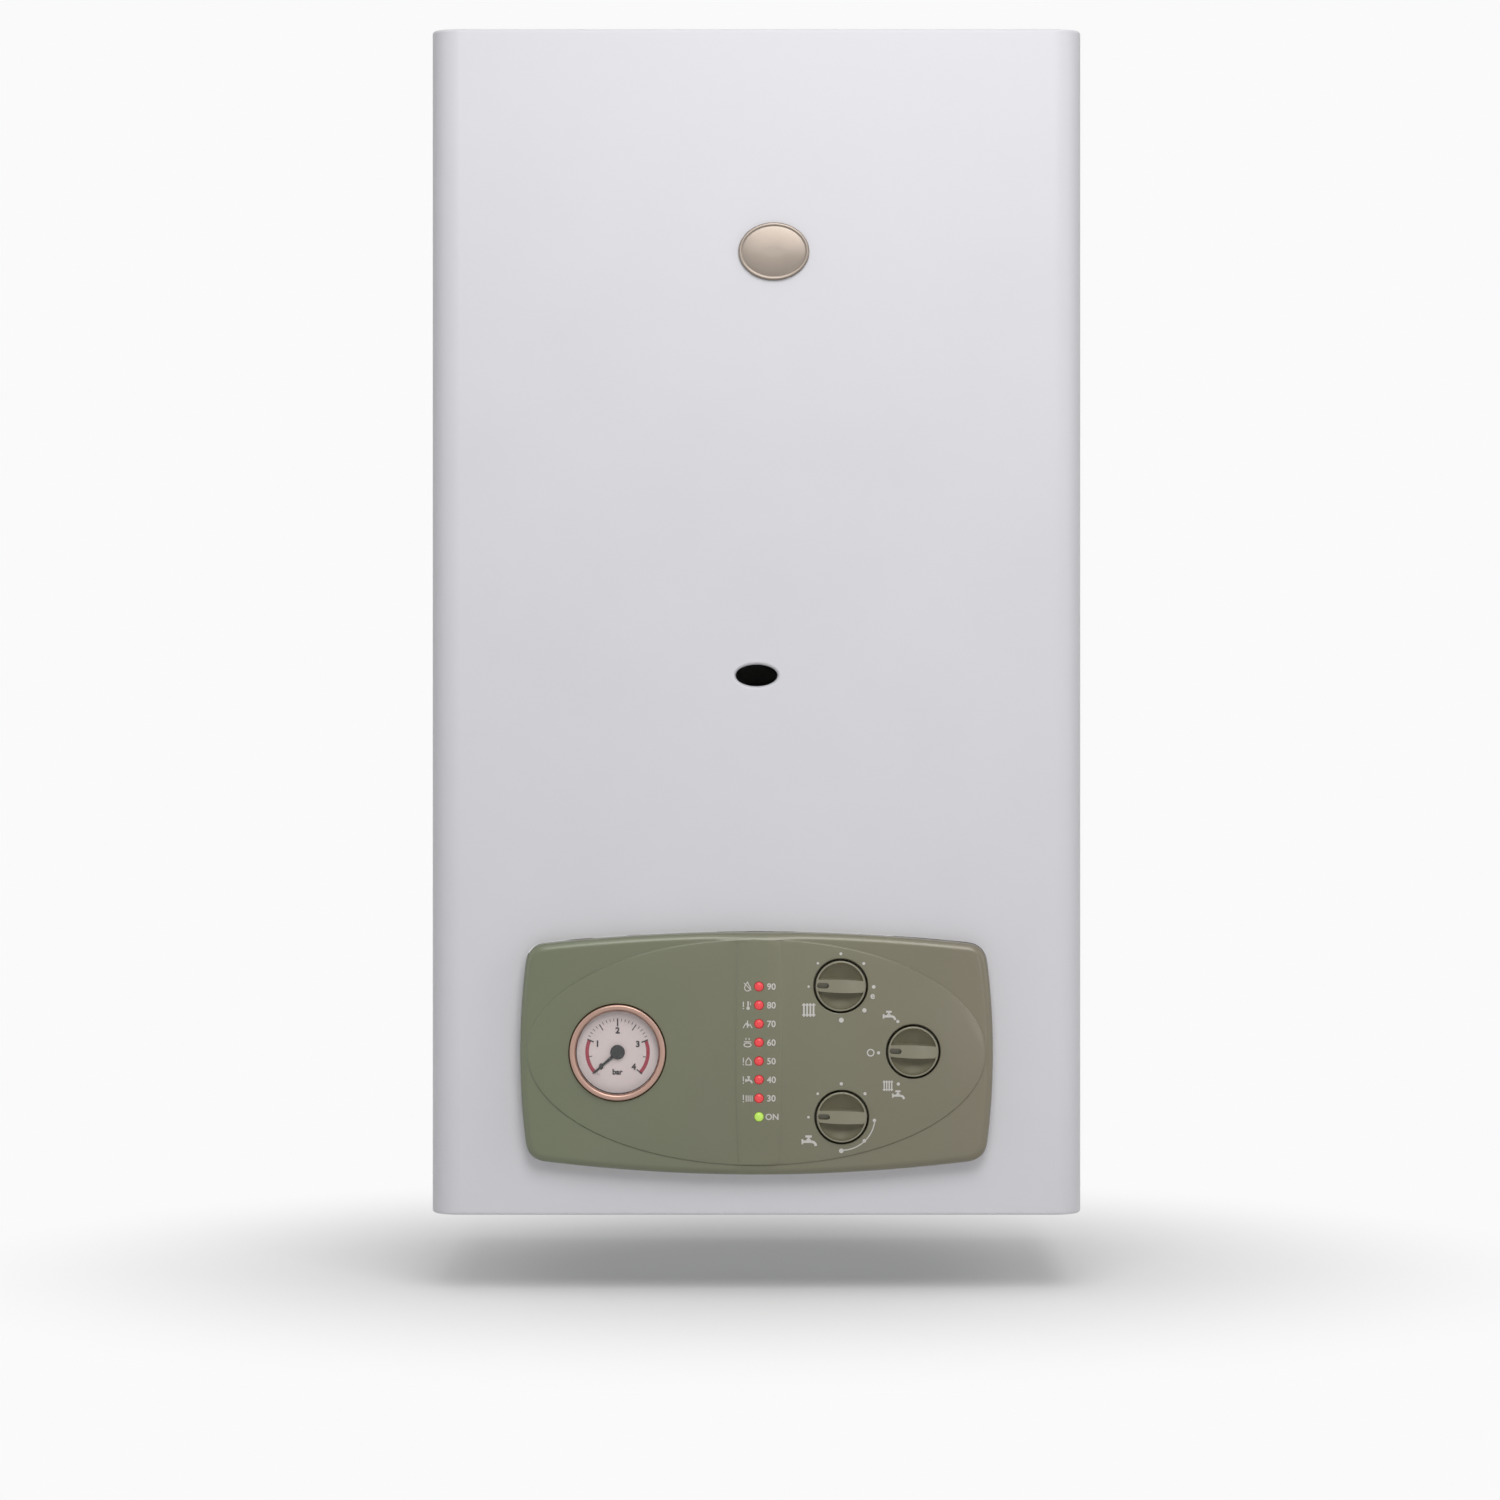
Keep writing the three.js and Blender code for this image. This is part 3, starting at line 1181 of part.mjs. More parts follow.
function makeElectrode() {
  const plateBack = FIREBOX_FRONT - SEAT;
  const [low, high] = [ELECTRODE_Z - 7, ELECTRODE_Z + 7];
  const plate = block(ELECTRODE_X - 14, ELECTRODE_X + 14, plateBack - 1.5, plateBack, low, high);
  const ceramic = barY(FIREBOX_FRONT - 12, FIREBOX_FRONT + 24, ELECTRODE_X, ELECTRODE_Z, 4);
  const tip = barY(FIREBOX_FRONT + 23, FIREBOX_FRONT + 40, ELECTRODE_X, ELECTRODE_Z, 1.2);
  return join(plate, ceramic, tip);
}

// The burner: a rack of upright gas bars, each a hollow blade with a rounded head.
function makeBurner() {
  const first = (-(BURNER_BARS - 1) * BURNER_PITCH) / 2;
  const head = BURNER_BAR_WIDTH / 2;
  const top = FIREBOX_BOTTOM - SEAT - head;
  const [front, back] = [FIREBOX_FRONT + 20, CHAMBER_BACK - 18];
  const bars = Array.from({ length: BURNER_BARS }, (_, i) => {
    const x = first + i * BURNER_PITCH;
    const shape = new THREE.Shape();
    shape.moveTo(x - head / 2, BURNER_BOTTOM);
    shape.lineTo(x + head / 2, BURNER_BOTTOM);
    shape.lineTo(x + head, BURNER_BOTTOM + 14);
    shape.absarc(x, top, head, 0, Math.PI, false);
    shape.lineTo(x - head, BURNER_BOTTOM + 14);
    return extrude(shape, 'xz', front, back, 2);
  });
  const reach = FIREBOX_HALF_WIDTH - 4;
  const crossFront = block(-reach, reach, front - 1.5, front + 2, BURNER_BOTTOM + 4, FIREBOX_BOTTOM - SEAT);
  const crossBack = block(-reach, reach, back - 2, back + 1.5, BURNER_BOTTOM + 4, FIREBOX_BOTTOM - SEAT);
  const ends = [-1, 1].map((side) => block(side * (reach - 1.5), side * reach, front, back,
    BURNER_BOTTOM + 20, FIREBOX_BOTTOM - SEAT));
  const throats = Array.from({ length: BURNER_BARS }, (_, i) => (
    barY(front - 3, front + 30, first + i * BURNER_PITCH, BURNER_BOTTOM + 16, 3.2, 6)
  ));
  return cut(join(...bars, crossFront, crossBack, ...ends), ...throats);
}

function manifoldY() {
  return FIREBOX_FRONT - 4;
}

function makeManifold() {
  const first = (-(BURNER_BARS - 1) * BURNER_PITCH) / 2;
  const y = manifoldY();
  const z = BURNER_BOTTOM + 16;
  const rail = barX(first - 12, -first + 12, y, z, 7);
  const nozzles = Array.from({ length: BURNER_BARS }, (_, i) => (
    rod([first + i * BURNER_PITCH, y, z], [first + i * BURNER_PITCH, FIREBOX_FRONT + 18.2, z], 3.6, 6, 2.6)
  ));
  const socket = barZ(z - 14, z, 0, y, GAS_PIPE_RADIUS);
  return join(rail, ...nozzles, socket);
}

// The exchanger: thin fins across a row of tubes, with a return header over each pair of tube ends.
function makeExchanger() {
  const half = (FIN_COUNT * FIN_PITCH) / 2;
  const gap = FIN_PITCH - FIN_THICKNESS;
  const core = TUBE_RADIUS + 1;
  const points = [];
  for (let i = 0; i < FIN_COUNT; i += 1) {
    const x = -half + i * FIN_PITCH;
    points.push([x, EXCHANGER_BOTTOM], [x + FIN_THICKNESS, EXCHANGER_BOTTOM]);
    points.push([x + FIN_THICKNESS, TUBE_Z - core], [x + FIN_THICKNESS + gap, TUBE_Z - core]);
  }
  points.push([half, EXCHANGER_BOTTOM], [half + FIN_THICKNESS, EXCHANGER_BOTTOM]);
  points.push([half + FIN_THICKNESS, EXCHANGER_TOP], [half, EXCHANGER_TOP]);
  for (let i = FIN_COUNT - 1; i >= 0; i -= 1) {
    const x = -half + i * FIN_PITCH;
    points.push([x + FIN_THICKNESS + gap, TUBE_Z + core], [x + FIN_THICKNESS, TUBE_Z + core]);
    points.push([x + FIN_THICKNESS, EXCHANGER_TOP], [x, EXCHANGER_TOP]);
  }
  const fins = extrude(outline(points), 'xz', EXCHANGER_FRONT, EXCHANGER_BACK);
  const endX = half + 14;
  const tubes = Array.from({ length: TUBE_COUNT }, (_, i) => (
    barX(-endX, endX, TUBE_FIRST_Y - i * TUBE_PITCH, TUBE_Z, TUBE_RADIUS)
  ));
  const headers = Array.from({ length: TUBE_COUNT - 1 }, (_, i) => {
    const side = i % 2 ? -1 : 1;
    const y = TUBE_FIRST_Y - (i + 0.5) * TUBE_PITCH;
    const shape = slotOutline(y, TUBE_Z, TUBE_PITCH + 2 * TUBE_RADIUS + 3, 2 * TUBE_RADIUS + 3);
    const [near, far] = [side * (half + 5), side * (endX + 8)];
    return extrude(shape, 'yz', Math.min(near, far), Math.max(near, far));
  });
  return join(fins, ...tubes, ...headers);
}

function rectRing(z, halfWidth, y0, y1) {
  return [[-halfWidth, y0, z], [halfWidth, y0, z], [halfWidth, y1, z], [-halfWidth, y1, z]];
}

// The hood narrows over the exchanger and rises behind the fan.
function makeHood() {
  const base = EXCHANGER_TOP + SEAT;
  const back = CHAMBER_BACK - SHEET - SEAT;
  const shift = FAN_X;
  const ring = (z, halfWidth, front, inset, offset) => (
    rectRing(z, halfWidth - inset, front + inset, back - inset).map(([x, y, h]) => [x + offset, y, h])
  );
  const skin = (inset, low, high) => loft([
    ring(low, FIREBOX_HALF_WIDTH, FIREBOX_FRONT, inset, 0),
    ring(base + 8, FIREBOX_HALF_WIDTH, FIREBOX_FRONT, inset, 0),
    ring(HOOD_THROAT_Z, HOOD_HEAD_HALF_WIDTH, HOOD_HEAD_FRONT, inset, shift),
    ring(high, HOOD_HEAD_HALF_WIDTH, HOOD_HEAD_FRONT, inset, shift),
  ]);
  const eye = barY(HOOD_HEAD_FRONT - 2, HOOD_HEAD_FRONT + 4, FAN_X, FAN_Z, FAN_EYE);
  return cut(skin(0, base, HOOD_TOP), skin(SHEET, base - 1, HOOD_TOP - SHEET), eye);
}

function makeCombustion() {
  return [
    piece('combustion_box', makeFirebox(), 'aluminised'),
    piece('combustion_insulation', makeInsulation(), 'ceramicFibre'),
    piece('burner', makeBurner(), 'stainless'),
    piece('gas_manifold', makeManifold(), 'aluminised'),
    piece('ignition_electrode', makeElectrode(), 'ceramic'),
    piece('main_heat_exchanger', makeExchanger(), 'copper'),
    piece('flue_hood', makeHood(), 'aluminised'),
  ];
}

// ---------------------------------------------------------------- fan and flue

// The scroll's spiral, which opens clockwise to the upright outlet on its right.
function scrollOutline(inset) {
  const points = [];
  const steps = 16;
  const right = FAN_X + SCROLL_END - inset;
  for (let i = 0; i <= steps; i += 1) {
    const share = i / steps;
    const angle = 2 * Math.PI - share * 1.62 * Math.PI;
    const radius = SCROLL_END - (SCROLL_END - SCROLL_START) * share - inset;
    points.push([FAN_X + radius * Math.cos(angle), FAN_Z + radius * Math.sin(angle)]);
  }
  points.push([right - 2 * OUTLET_HALF + 2 * inset, FAN_Z + SCROLL_START]);
  points.push([right - 2 * OUTLET_HALF + 2 * inset, OUTLET_TOP + (inset ? 1 : 0)]);
  points.push([right, OUTLET_TOP + (inset ? 1 : 0)]);
  return outline(points.reverse());
}

function makeScroll() {
  const body = extrude(scrollOutline(0), 'xz', SCROLL_FRONT, SCROLL_BACK);
  const hollow = extrude(scrollOutline(SHEET), 'xz', SCROLL_FRONT + SHEET, SCROLL_BACK - SHEET);
  const eye = barY(SCROLL_BACK - 5, SCROLL_BACK + 1, FAN_X, FAN_Z, FAN_EYE);
  const shaftHole = barY(SCROLL_FRONT - 1, SCROLL_FRONT + 5, FAN_X, FAN_Z, FAN_SHAFT + 3);
  const reach = OUTLET_HALF + 6;
  const flange = block(-reach, reach, SCROLL_FRONT - 3, SCROLL_BACK, OUTLET_TOP - 2, OUTLET_TOP);
  const collarTop = CHAMBER_TOP - SHEET - SEAT;
  const collar = barZ(OUTLET_TOP - 1, collarTop, 0, FLUE_Y, FLUE_BORE - 1);
  const bore = barZ(OUTLET_TOP - 3, collarTop + 1, 0, FLUE_Y, FLUE_BORE - 1 - SHEET);
  const throat = barZ(OUTLET_TOP - 8, OUTLET_TOP, 0, FLUE_Y, OUTLET_HALF - SHEET - 0.5);
  return cut(join(cut(body, hollow), flange, collar), bore, throat, eye, shaftHole);
}

function bladeOutline(turn) {
  const [inner, outer] = [WHEEL_RADIUS * 0.62, WHEEL_RADIUS - 1];
  const steps = 2;
  const sides = [[], []];
  for (let i = 0; i <= steps; i += 1) {
    const share = i / steps;
    const radius = inner + (outer - inner) * share;
    const sweep = turn + 0.42 * share * share;
    [-0.45, 0.45].forEach((half, side) => {
      const angle = sweep + half / radius;
      sides[side].push([FAN_X + radius * Math.cos(angle), FAN_Z + radius * Math.sin(angle)]);
    });
  }
  return outline([...sides[0], ...sides[1].reverse()]);
}

// The wheel: curved blades between a closed disc on the motor side and a ring at the eye.
function makeImpeller() {
  const front = SCROLL_FRONT + SHEET + 6;
  const back = front + WHEEL_WIDTH;
  const disc = barY(front, front + 1.5, FAN_X, FAN_Z, WHEEL_RADIUS);
  const ring = cut(barY(back - 1.5, back, FAN_X, FAN_Z, WHEEL_RADIUS),
    barY(back - 3, back + 1, FAN_X, FAN_Z, WHEEL_RADIUS * 0.66));
  const blades = Array.from({ length: WHEEL_BLADES }, (_, i) => (
    extrude(bladeOutline((2 * Math.PI * i) / WHEEL_BLADES), 'xz', front + 1, back - 1)
  ));
  const hub = rod([FAN_X, front, FAN_Z], [FAN_X, front + 16, FAN_Z], 10, 20, 7);
  const shaft = barY(SCROLL_FRONT - SEAT - 22, front + 4, FAN_X, FAN_Z, FAN_SHAFT);
  return join(disc, ring, ...blades, hub, shaft);
}

function makeFanMotor() {
  const back = SCROLL_FRONT - SEAT;
  const front = back - MOTOR_LENGTH;
  const body = barY(front + 4, back - 6, FAN_X, FAN_Z, MOTOR_RADIUS);
  const nose = barY(front, front + 5, FAN_X, FAN_Z, MOTOR_RADIUS * 0.5);
  const plate = block(FAN_X - 36, FAN_X + 36, back - 2.5, back, FAN_Z - 26, FAN_Z + 26);
  const stack = block(FAN_X - 38, FAN_X + 38, back - 28, back - 12, FAN_Z - 20, FAN_Z + 20);
  const neck = barY(back - 7, back - 1, FAN_X, FAN_Z, 14);
  const bore = barY(back - 23, back + 1, FAN_X, FAN_Z, FAN_SHAFT + RUNNING);
  return cut(join(body, nose, plate, stack, neck), bore);
}

function makePressureSwitch() {
  const back = CHAMBER_BACK - SHEET - SEAT;
  const [x, z] = [150, 715];
  const drum = barY(back - 22, back - 6, x, z, 31);
  const rim = barY(back - 16, back - 12, x, z, 34);
  const base = block(x - 20, x + 20, back - 8, back, z - 14, z + 14);
  const nipples = [-8, 8].map((offset) => barY(back - 34, back - 20, x + offset, z, 3));
  return join(drum, rim, base, ...nipples);
}

function makeFlue() {
  const gasketLow = CHAMBER_TOP + SEAT;
  const gasketTop = gasketLow + 2;
  const collarLow = gasketTop + SEAT;
  const ring = (outer, inner, low, high) => cut(barZ(low, high, 0, FLUE_Y, outer),
    barZ(low - 1, high + 1, 0, FLUE_Y, inner));
  const gasketRing = ring(FLUE_FLANGE, FLUE_BORE, gasketLow, gasketTop);
  const gasket = cut(gasketRing, ...airHoles(gasketLow - 1, gasketTop + 1));
  const flange = ring(FLUE_FLANGE, FLUE_BORE, collarLow, collarLow + 3);
  const inner = ring(FLUE_BORE + FLUE_WALL, FLUE_BORE, collarLow, FLUE_TOP);
  const socket = ring(FLUE_SOCKET, FLUE_SOCKET - FLUE_WALL, collarLow, FLUE_TOP);
  const collar = cut(join(flange, inner, socket), ...airHoles(collarLow - 1, collarLow + 4));
  return [
    piece('flue_gasket', gasket, 'rubber'),
    piece('flue_collar', collar, 'castAlu'),
  ];
}

function makeFan() {
  return [
    piece('fan_scroll', makeScroll(), 'aluminised'),
    piece('fan_impeller', makeImpeller(), 'aluminised'),
    piece('fan_motor', makeFanMotor(), 'castIron'),
    piece('air_pressure_switch', makePressureSwitch(), 'greyPlastic'),
  ];
}

// ---------------------------------------------------------------- expansion vessel

function makeVessel() {
  const back = -TOP_RAIL_DEPTH - SEAT;
  const half = VESSEL_THICKNESS / 2;
  const mid = back - half;
  const r = VESSEL_RADIUS;
  const halfProfile = [
    [r - 46, half],
    [r - 20, half - 5],
    [r - 6, half - 16],
    [r - 1, half - 30],
    [r - 1, 3],
  ];
  const seam = [[r + 2, 2], [r + 2, -2]];
  const mirrored = [...halfProfile].reverse().map(([radius, along]) => [radius, -along]);
  const profile = [[0, half], ...halfProfile, ...seam, ...mirrored, [0, -half]];
  const shell = revolve(profile, [0, mid, VESSEL_Z], Y, 24);
  const nipple = barZ(VESSEL_Z - r - 8, VESSEL_Z - r + 6, 0, mid, 8, 6);
  const wall = VESSEL_WALL;
  const cavity = revolve([
    [0, half - wall],
    [r - 48, half - wall],
    [r - 10, half - 20],
    [r - 10, 20 - half],
    [r - 48, wall - half],
    [0, wall - half],
  ], [0, mid, VESSEL_Z], Y, 16);
  const port = barZ(VESSEL_Z - r - 9, VESSEL_Z - r + 20, 0, mid, 4);
  return piece('expansion_vessel', cut(join(shell, nipple), cavity, port), 'vesselRed');
}

function vesselNippleY() {
  return -TOP_RAIL_DEPTH - SEAT - VESSEL_THICKNESS / 2;
}

// ---------------------------------------------------------------- hydraulic group

// A threaded tail that hangs below the base plate, open at its lower end.
function tail(x, radius, top) {
  const neck = barZ(STUB_BOTTOM, top, x, PIPE_Y, radius);
  const nut = barZ(BASE_TOP + 4, BASE_TOP + 16, x, PIPE_Y, radius + 4, 6);
  return join(neck, nut);
}

function tailBore(x, radius, depth = 40) {
  return barZ(STUB_BOTTOM - 1, STUB_BOTTOM + depth, x, PIPE_Y, radius - TAIL_WALL);
}

function makeLeftBlock() {
  const body = block(TAIL_LEFT_FLOW - 20, -45, BLOCK_FRONT, BLOCK_BACK, BLOCK_BOTTOM, BLOCK_TOP);
  const diverter = barZ(BLOCK_BOTTOM, DIVERTER_TOP - 12, TAIL_LEFT_FLOW, PIPE_Y, DIVERTER_RADIUS);
  const outlet = barZ(DIVERTER_TOP - 14, DIVERTER_TOP, TAIL_LEFT_FLOW, PIPE_Y, 12, 6);
  const seat = barY(BLOCK_FRONT - 4, PIPE_Y, TAIL_LEFT_FLOW, ACTUATOR_Z, 15);
  const whole = join(body, diverter, outlet, seat, tail(TAIL_LEFT_FLOW, HEATING_TAIL, BLOCK_BOTTOM + 2),
    tail(TAIL_HOT, WATER_TAIL, BLOCK_BOTTOM + 2));
  return cut(whole, tailBore(TAIL_LEFT_FLOW, HEATING_TAIL), tailBore(TAIL_HOT, WATER_TAIL));
}

function makeRightBlock() {
  const body = block(45, TAIL_RETURN + 20, BLOCK_FRONT, BLOCK_BACK, BLOCK_BOTTOM, BLOCK_TOP);
  const top = BLOCK_BOTTOM + 2;
  const whole = join(body, tail(TAIL_COLD, WATER_TAIL, top), tail(TAIL_RETURN, HEATING_TAIL, top));
  return cut(whole, tailBore(TAIL_COLD, WATER_TAIL), tailBore(TAIL_RETURN, HEATING_TAIL));
}

function makeActuator() {
  const back = BLOCK_FRONT - 4 - SEAT;
  const bodyBack = back - 8;
  const body = block(TAIL_LEFT_FLOW - ACTUATOR_HALF, TAIL_LEFT_FLOW + ACTUATOR_HALF,
    bodyBack - ACTUATOR_DEPTH, bodyBack, ACTUATOR_Z - ACTUATOR_HALF, ACTUATOR_Z + ACTUATOR_HALF);
  const collar = barY(bodyBack - 2, back, TAIL_LEFT_FLOW, ACTUATOR_Z, 17);
  return join(body, collar);
}

// A stack of pressed plates with a thicker plate at each end.
function makePlateExchanger() {
  const front = BLOCK_BACK + SEAT;
  const pitch = PLATES_THICKNESS / PLATE_COUNT;
  const core = block(-PLATES_HALF_WIDTH + 3, PLATES_HALF_WIDTH - 3, front, front + PLATES_THICKNESS,
    PLATES_BOTTOM + 3, PLATES_TOP - 3);
  const plates = Array.from({ length: PLATE_COUNT }, (_, i) => {
    const y = front + i * pitch;
    const depth = i === 0 || i === PLATE_COUNT - 1 ? pitch * 0.8 : pitch * 0.5;
    return block(-PLATES_HALF_WIDTH, PLATES_HALF_WIDTH, y, y + depth, PLATES_BOTTOM, PLATES_TOP);
  });
  return join(core, ...plates);
}

function makePumpVolute() {
  const body = barY(PUMP_FRONT, PUMP_BACK, TAIL_RETURN, PUMP_Z, PUMP_RADIUS);
  const suction = barZ(BLOCK_TOP + SEAT, PUMP_Z - 20, TAIL_RETURN, PIPE_Y, PUMP_SUCTION_RADIUS);
  const dischargeTop = PUMP_Z + PUMP_DISCHARGE_TOP;
  const discharge = barZ(PUMP_Z + 20, dischargeTop, TAIL_RETURN, PIPE_Y, PUMP_DISCHARGE_RADIUS, 6);
  const ventTop = PUMP_Z + PUMP_VENT_TOP;
  const ventBoss = barZ(PUMP_Z, ventTop, TAIL_RETURN + PUMP_VENT_X, PIPE_Y, PUMP_VENT_RADIUS);
  return join(body, suction, discharge, ventBoss);
}

function makePumpMotor() {
  const back = PUMP_FRONT - SEAT;
  const front = back - PUMP_MOTOR_LENGTH;
  const profile = [
    [0, 0],
    [PUMP_MOTOR_RADIUS, 0],
    [PUMP_MOTOR_RADIUS, 6],
    [PUMP_MOTOR_RADIUS - 5, 9],
    [PUMP_MOTOR_RADIUS - 5, PUMP_MOTOR_LENGTH - 8],
    [PUMP_MOTOR_RADIUS - 12, PUMP_MOTOR_LENGTH],
    [0, PUMP_MOTOR_LENGTH],
  ];
  const body = revolve(profile, [TAIL_RETURN, back, PUMP_Z], Y.clone().negate());
  const [low, high] = [PUMP_Z + 30, PUMP_Z + 54];
  const terminals = block(TAIL_RETURN - 30, TAIL_RETURN + 22, front + 10, back - 14, low, high);
  const bore = barY(front - 1, front + 8, TAIL_RETURN, PUMP_Z, SERVICE_SPINDLE + RUNNING);
  return cut(join(body, terminals), bore);
}

function makePumpKnob() {
  const back = PUMP_FRONT - SEAT - PUMP_MOTOR_LENGTH - SEAT;
  const cap = barY(back - 9, back, TAIL_RETURN, PUMP_Z, 10);
  const wing = block(TAIL_RETURN - 2, TAIL_RETURN + 2, back - 13, back - 8, PUMP_Z - 9, PUMP_Z + 9);
  const spindle = barY(back - 1, back + 7, TAIL_RETURN, PUMP_Z, SERVICE_SPINDLE);
  return join(cap, wing, spindle);
}

function makeAirVent() {
  const low = PUMP_Z + PUMP_VENT_TOP + SEAT;
  const profile = [[0, 0], [7, 0], [7, 6], [12, 8], [12, 30], [9, 33], [4, 34], [4, 39], [0, 39]];
  return revolve(profile, [TAIL_RETURN + PUMP_VENT_X, PIPE_Y, low], Z, 14);
}

function makeGasValve() {
  const body = block(-28, 28, VALVE_Y - 32, VALVE_Y + 32, VALVE_BOTTOM + 8, VALVE_TOP - 8);
  const inlet = barZ(VALVE_BOTTOM, VALVE_BOTTOM + 10, 0, VALVE_Y, 14, 6);
  const outlet = barZ(VALVE_TOP - 10, VALVE_TOP, 0, VALVE_Y, 14, 6);
  const coils = [-14, 14].map((x) => barY(VALVE_Y - 62, VALVE_Y - 30, x, VALVE_BOTTOM + 54, 12));
  const regulator = barX(27, 40, VALVE_Y, VALVE_BOTTOM + 34, 11);
  return join(body, inlet, outlet, ...coils, regulator);
}

function makeSafetyValve() {
  const back = BLOCK_FRONT - SEAT;
  const body = barY(back - SAFETY_BODY, back, SAFETY_X, SAFETY_Z, 11);
  const nut = barY(back - 15, back - 7, SAFETY_X, SAFETY_Z, 14, 6);
  const drain = barZ(SAFETY_Z - 24, SAFETY_Z - 7, SAFETY_X, back - 20, 6);
  const bore = barY(back - 27, back - 12, SAFETY_X, SAFETY_Z, SERVICE_SPINDLE + RUNNING);
  return cut(join(body, nut, drain), bore);
}

function makeSafetyCap() {
  const back = BLOCK_FRONT - SEAT - SAFETY_BODY - SEAT;
  const front = back - SAFETY_CAP;
  const cap = barY(front, back, SAFETY_X, SAFETY_Z, 12);
  const lobes = Array.from({ length: 4 }, (_, i) => {
    const angle = (Math.PI / 2) * i + Math.PI / 4;
    const [x, z] = [SAFETY_X + 11 * Math.cos(angle), SAFETY_Z + 11 * Math.sin(angle)];
    return barY(front, back - 4, x, z, 4);
  });
  const spindle = barY(back - 1, back + 10, SAFETY_X, SAFETY_Z, SERVICE_SPINDLE);
  return join(cap, ...lobes, spindle);
}

function makeFillingTap() {
  const body = barZ(BASE_TOP + SEAT, BLOCK_BOTTOM - SEAT, FILL_TAP_X, FILL_TAP_Y, 10);
  const nut = barZ(BASE_TOP + SEAT, BASE_TOP + 10, FILL_TAP_X, FILL_TAP_Y, 13, 6);
  const bore = barZ(BASE_TOP - 1, BASE_TOP + 16, FILL_TAP_X, FILL_TAP_Y, SERVICE_SPINDLE + RUNNING);
  return cut(join(body, nut), bore);
}

function makeFillingKnob() {
  const top = BASE_TOP - FRAME_STEEL - 2;
  const grip = barZ(STUB_BOTTOM, top, FILL_TAP_X, FILL_TAP_Y, 11);
  const spindle = barZ(top - 1, BASE_TOP + 14, FILL_TAP_X, FILL_TAP_Y, SERVICE_SPINDLE);
  return join(grip, spindle);
}

function chamberPipePlaces() {
  return [FLOW_RISER, RETURN_RISER, { x: 0, y: manifoldY(), radius: GAS_PIPE_RADIUS }];
}

function makePipes() {
  const tubeEnd = (FIN_COUNT * FIN_PITCH) / 2 + 14 + SEAT;
  const flow = pipe([
    [TAIL_LEFT_FLOW, PIPE_Y, DIVERTER_TOP + SEAT],
    [TAIL_LEFT_FLOW, PIPE_Y, FLOW_CROSSING_Z],
    [FLOW_RISER.x, FLOW_RISER.y, FLOW_CROSSING_Z],
    [FLOW_RISER.x, FLOW_RISER.y, TUBE_Z],
    [-tubeEnd, FLOW_RISER.y, TUBE_Z],
  ], PIPE_RADIUS, HEATING_BEND);
  const back = pipe([
    [TAIL_RETURN, PIPE_Y, PUMP_Z + PUMP_DISCHARGE_TOP + SEAT],
    [TAIL_RETURN, PIPE_Y, RETURN_CROSSING_Z],
    [RETURN_RISER.x, RETURN_RISER.y, RETURN_CROSSING_Z],
    [RETURN_RISER.x, RETURN_RISER.y, TUBE_Z],
    [tubeEnd, RETURN_RISER.y, TUBE_Z],
  ], PIPE_RADIUS, HEATING_BEND);
  const gasIn = cut(join(
    pipe([
      [0, PIPE_Y, BASE_TOP],
      [0, PIPE_Y, GAS_INLET_TURN_LOW],
      [0, VALVE_Y, GAS_INLET_TURN_HIGH],
      [0, VALVE_Y, VALVE_BOTTOM - SEAT],
    ], PIPE_RADIUS, GAS_INLET_BEND),
    tail(0, GAS_TAIL, BASE_TOP + 6),
  ), tailBore(0, GAS_TAIL, 24));
  const gasOut = pipe([
    [0, VALVE_Y, VALVE_TOP + SEAT],
    [0, VALVE_Y, BURNER_GAS_CROSSING_Z],
    [0, manifoldY(), BURNER_GAS_CROSSING_Z],
    [0, manifoldY(), BURNER_BOTTOM + 2 - SEAT],
  ], GAS_PIPE_RADIUS, BURNER_GAS_BEND);
  const nippleY = vesselNippleY();
  const vessel = pipe([
    [0, nippleY, VESSEL_Z - VESSEL_RADIUS - 8 - SEAT],
    [0, nippleY, VESSEL_PIPE_CROSSING_Z],
    [VESSEL_PIPE_X, nippleY, VESSEL_PIPE_CROSSING_Z],
    [VESSEL_PIPE_X, FILL_TAP_Y, VESSEL_PIPE_DROP_Z],
    [VESSEL_PIPE_X, FILL_TAP_Y, BLOCK_TOP + SEAT],
  ], SMALL_PIPE_RADIUS, VESSEL_PIPE_BEND);
  return [
    piece('flow_pipe', flow, 'copper'),
    piece('return_pipe', back, 'copper'),
    piece('gas_inlet_pipe', gasIn, 'brass'),
    piece('burner_gas_pipe', gasOut, 'aluminised'),
    piece('vessel_pipe', vessel, 'copper'),
  ];
}

function makeHydraulics() {
  return [
    piece('hydraulic_block_left', makeLeftBlock(), 'brass'),
    piece('hydraulic_block_right', makeRightBlock(), 'brass'),
    piece('diverter_actuator', makeActuator(), 'greyPlastic'),
    piece('plate_heat_exchanger', makePlateExchanger(), 'stainless'),
    piece('pump_volute', makePumpVolute(), 'castIron'),
    piece('pump_motor', makePumpMotor(), 'castIron'),
    piece('pump_speed_knob', makePumpKnob(), 'capRed'),
    piece('air_vent', makeAirVent(), 'brass'),
    piece('gas_valve', makeGasValve(), 'castAlu'),
    piece('safety_valve', makeSafetyValve(), 'brass'),
    piece('safety_valve_cap', makeSafetyCap(), 'capRed'),
    piece('filling_tap', makeFillingTap(), 'brass'),
    piece('filling_tap_knob', makeFillingKnob(), 'capBlue'),
  ];
}

// ---------------------------------------------------------------- assembly

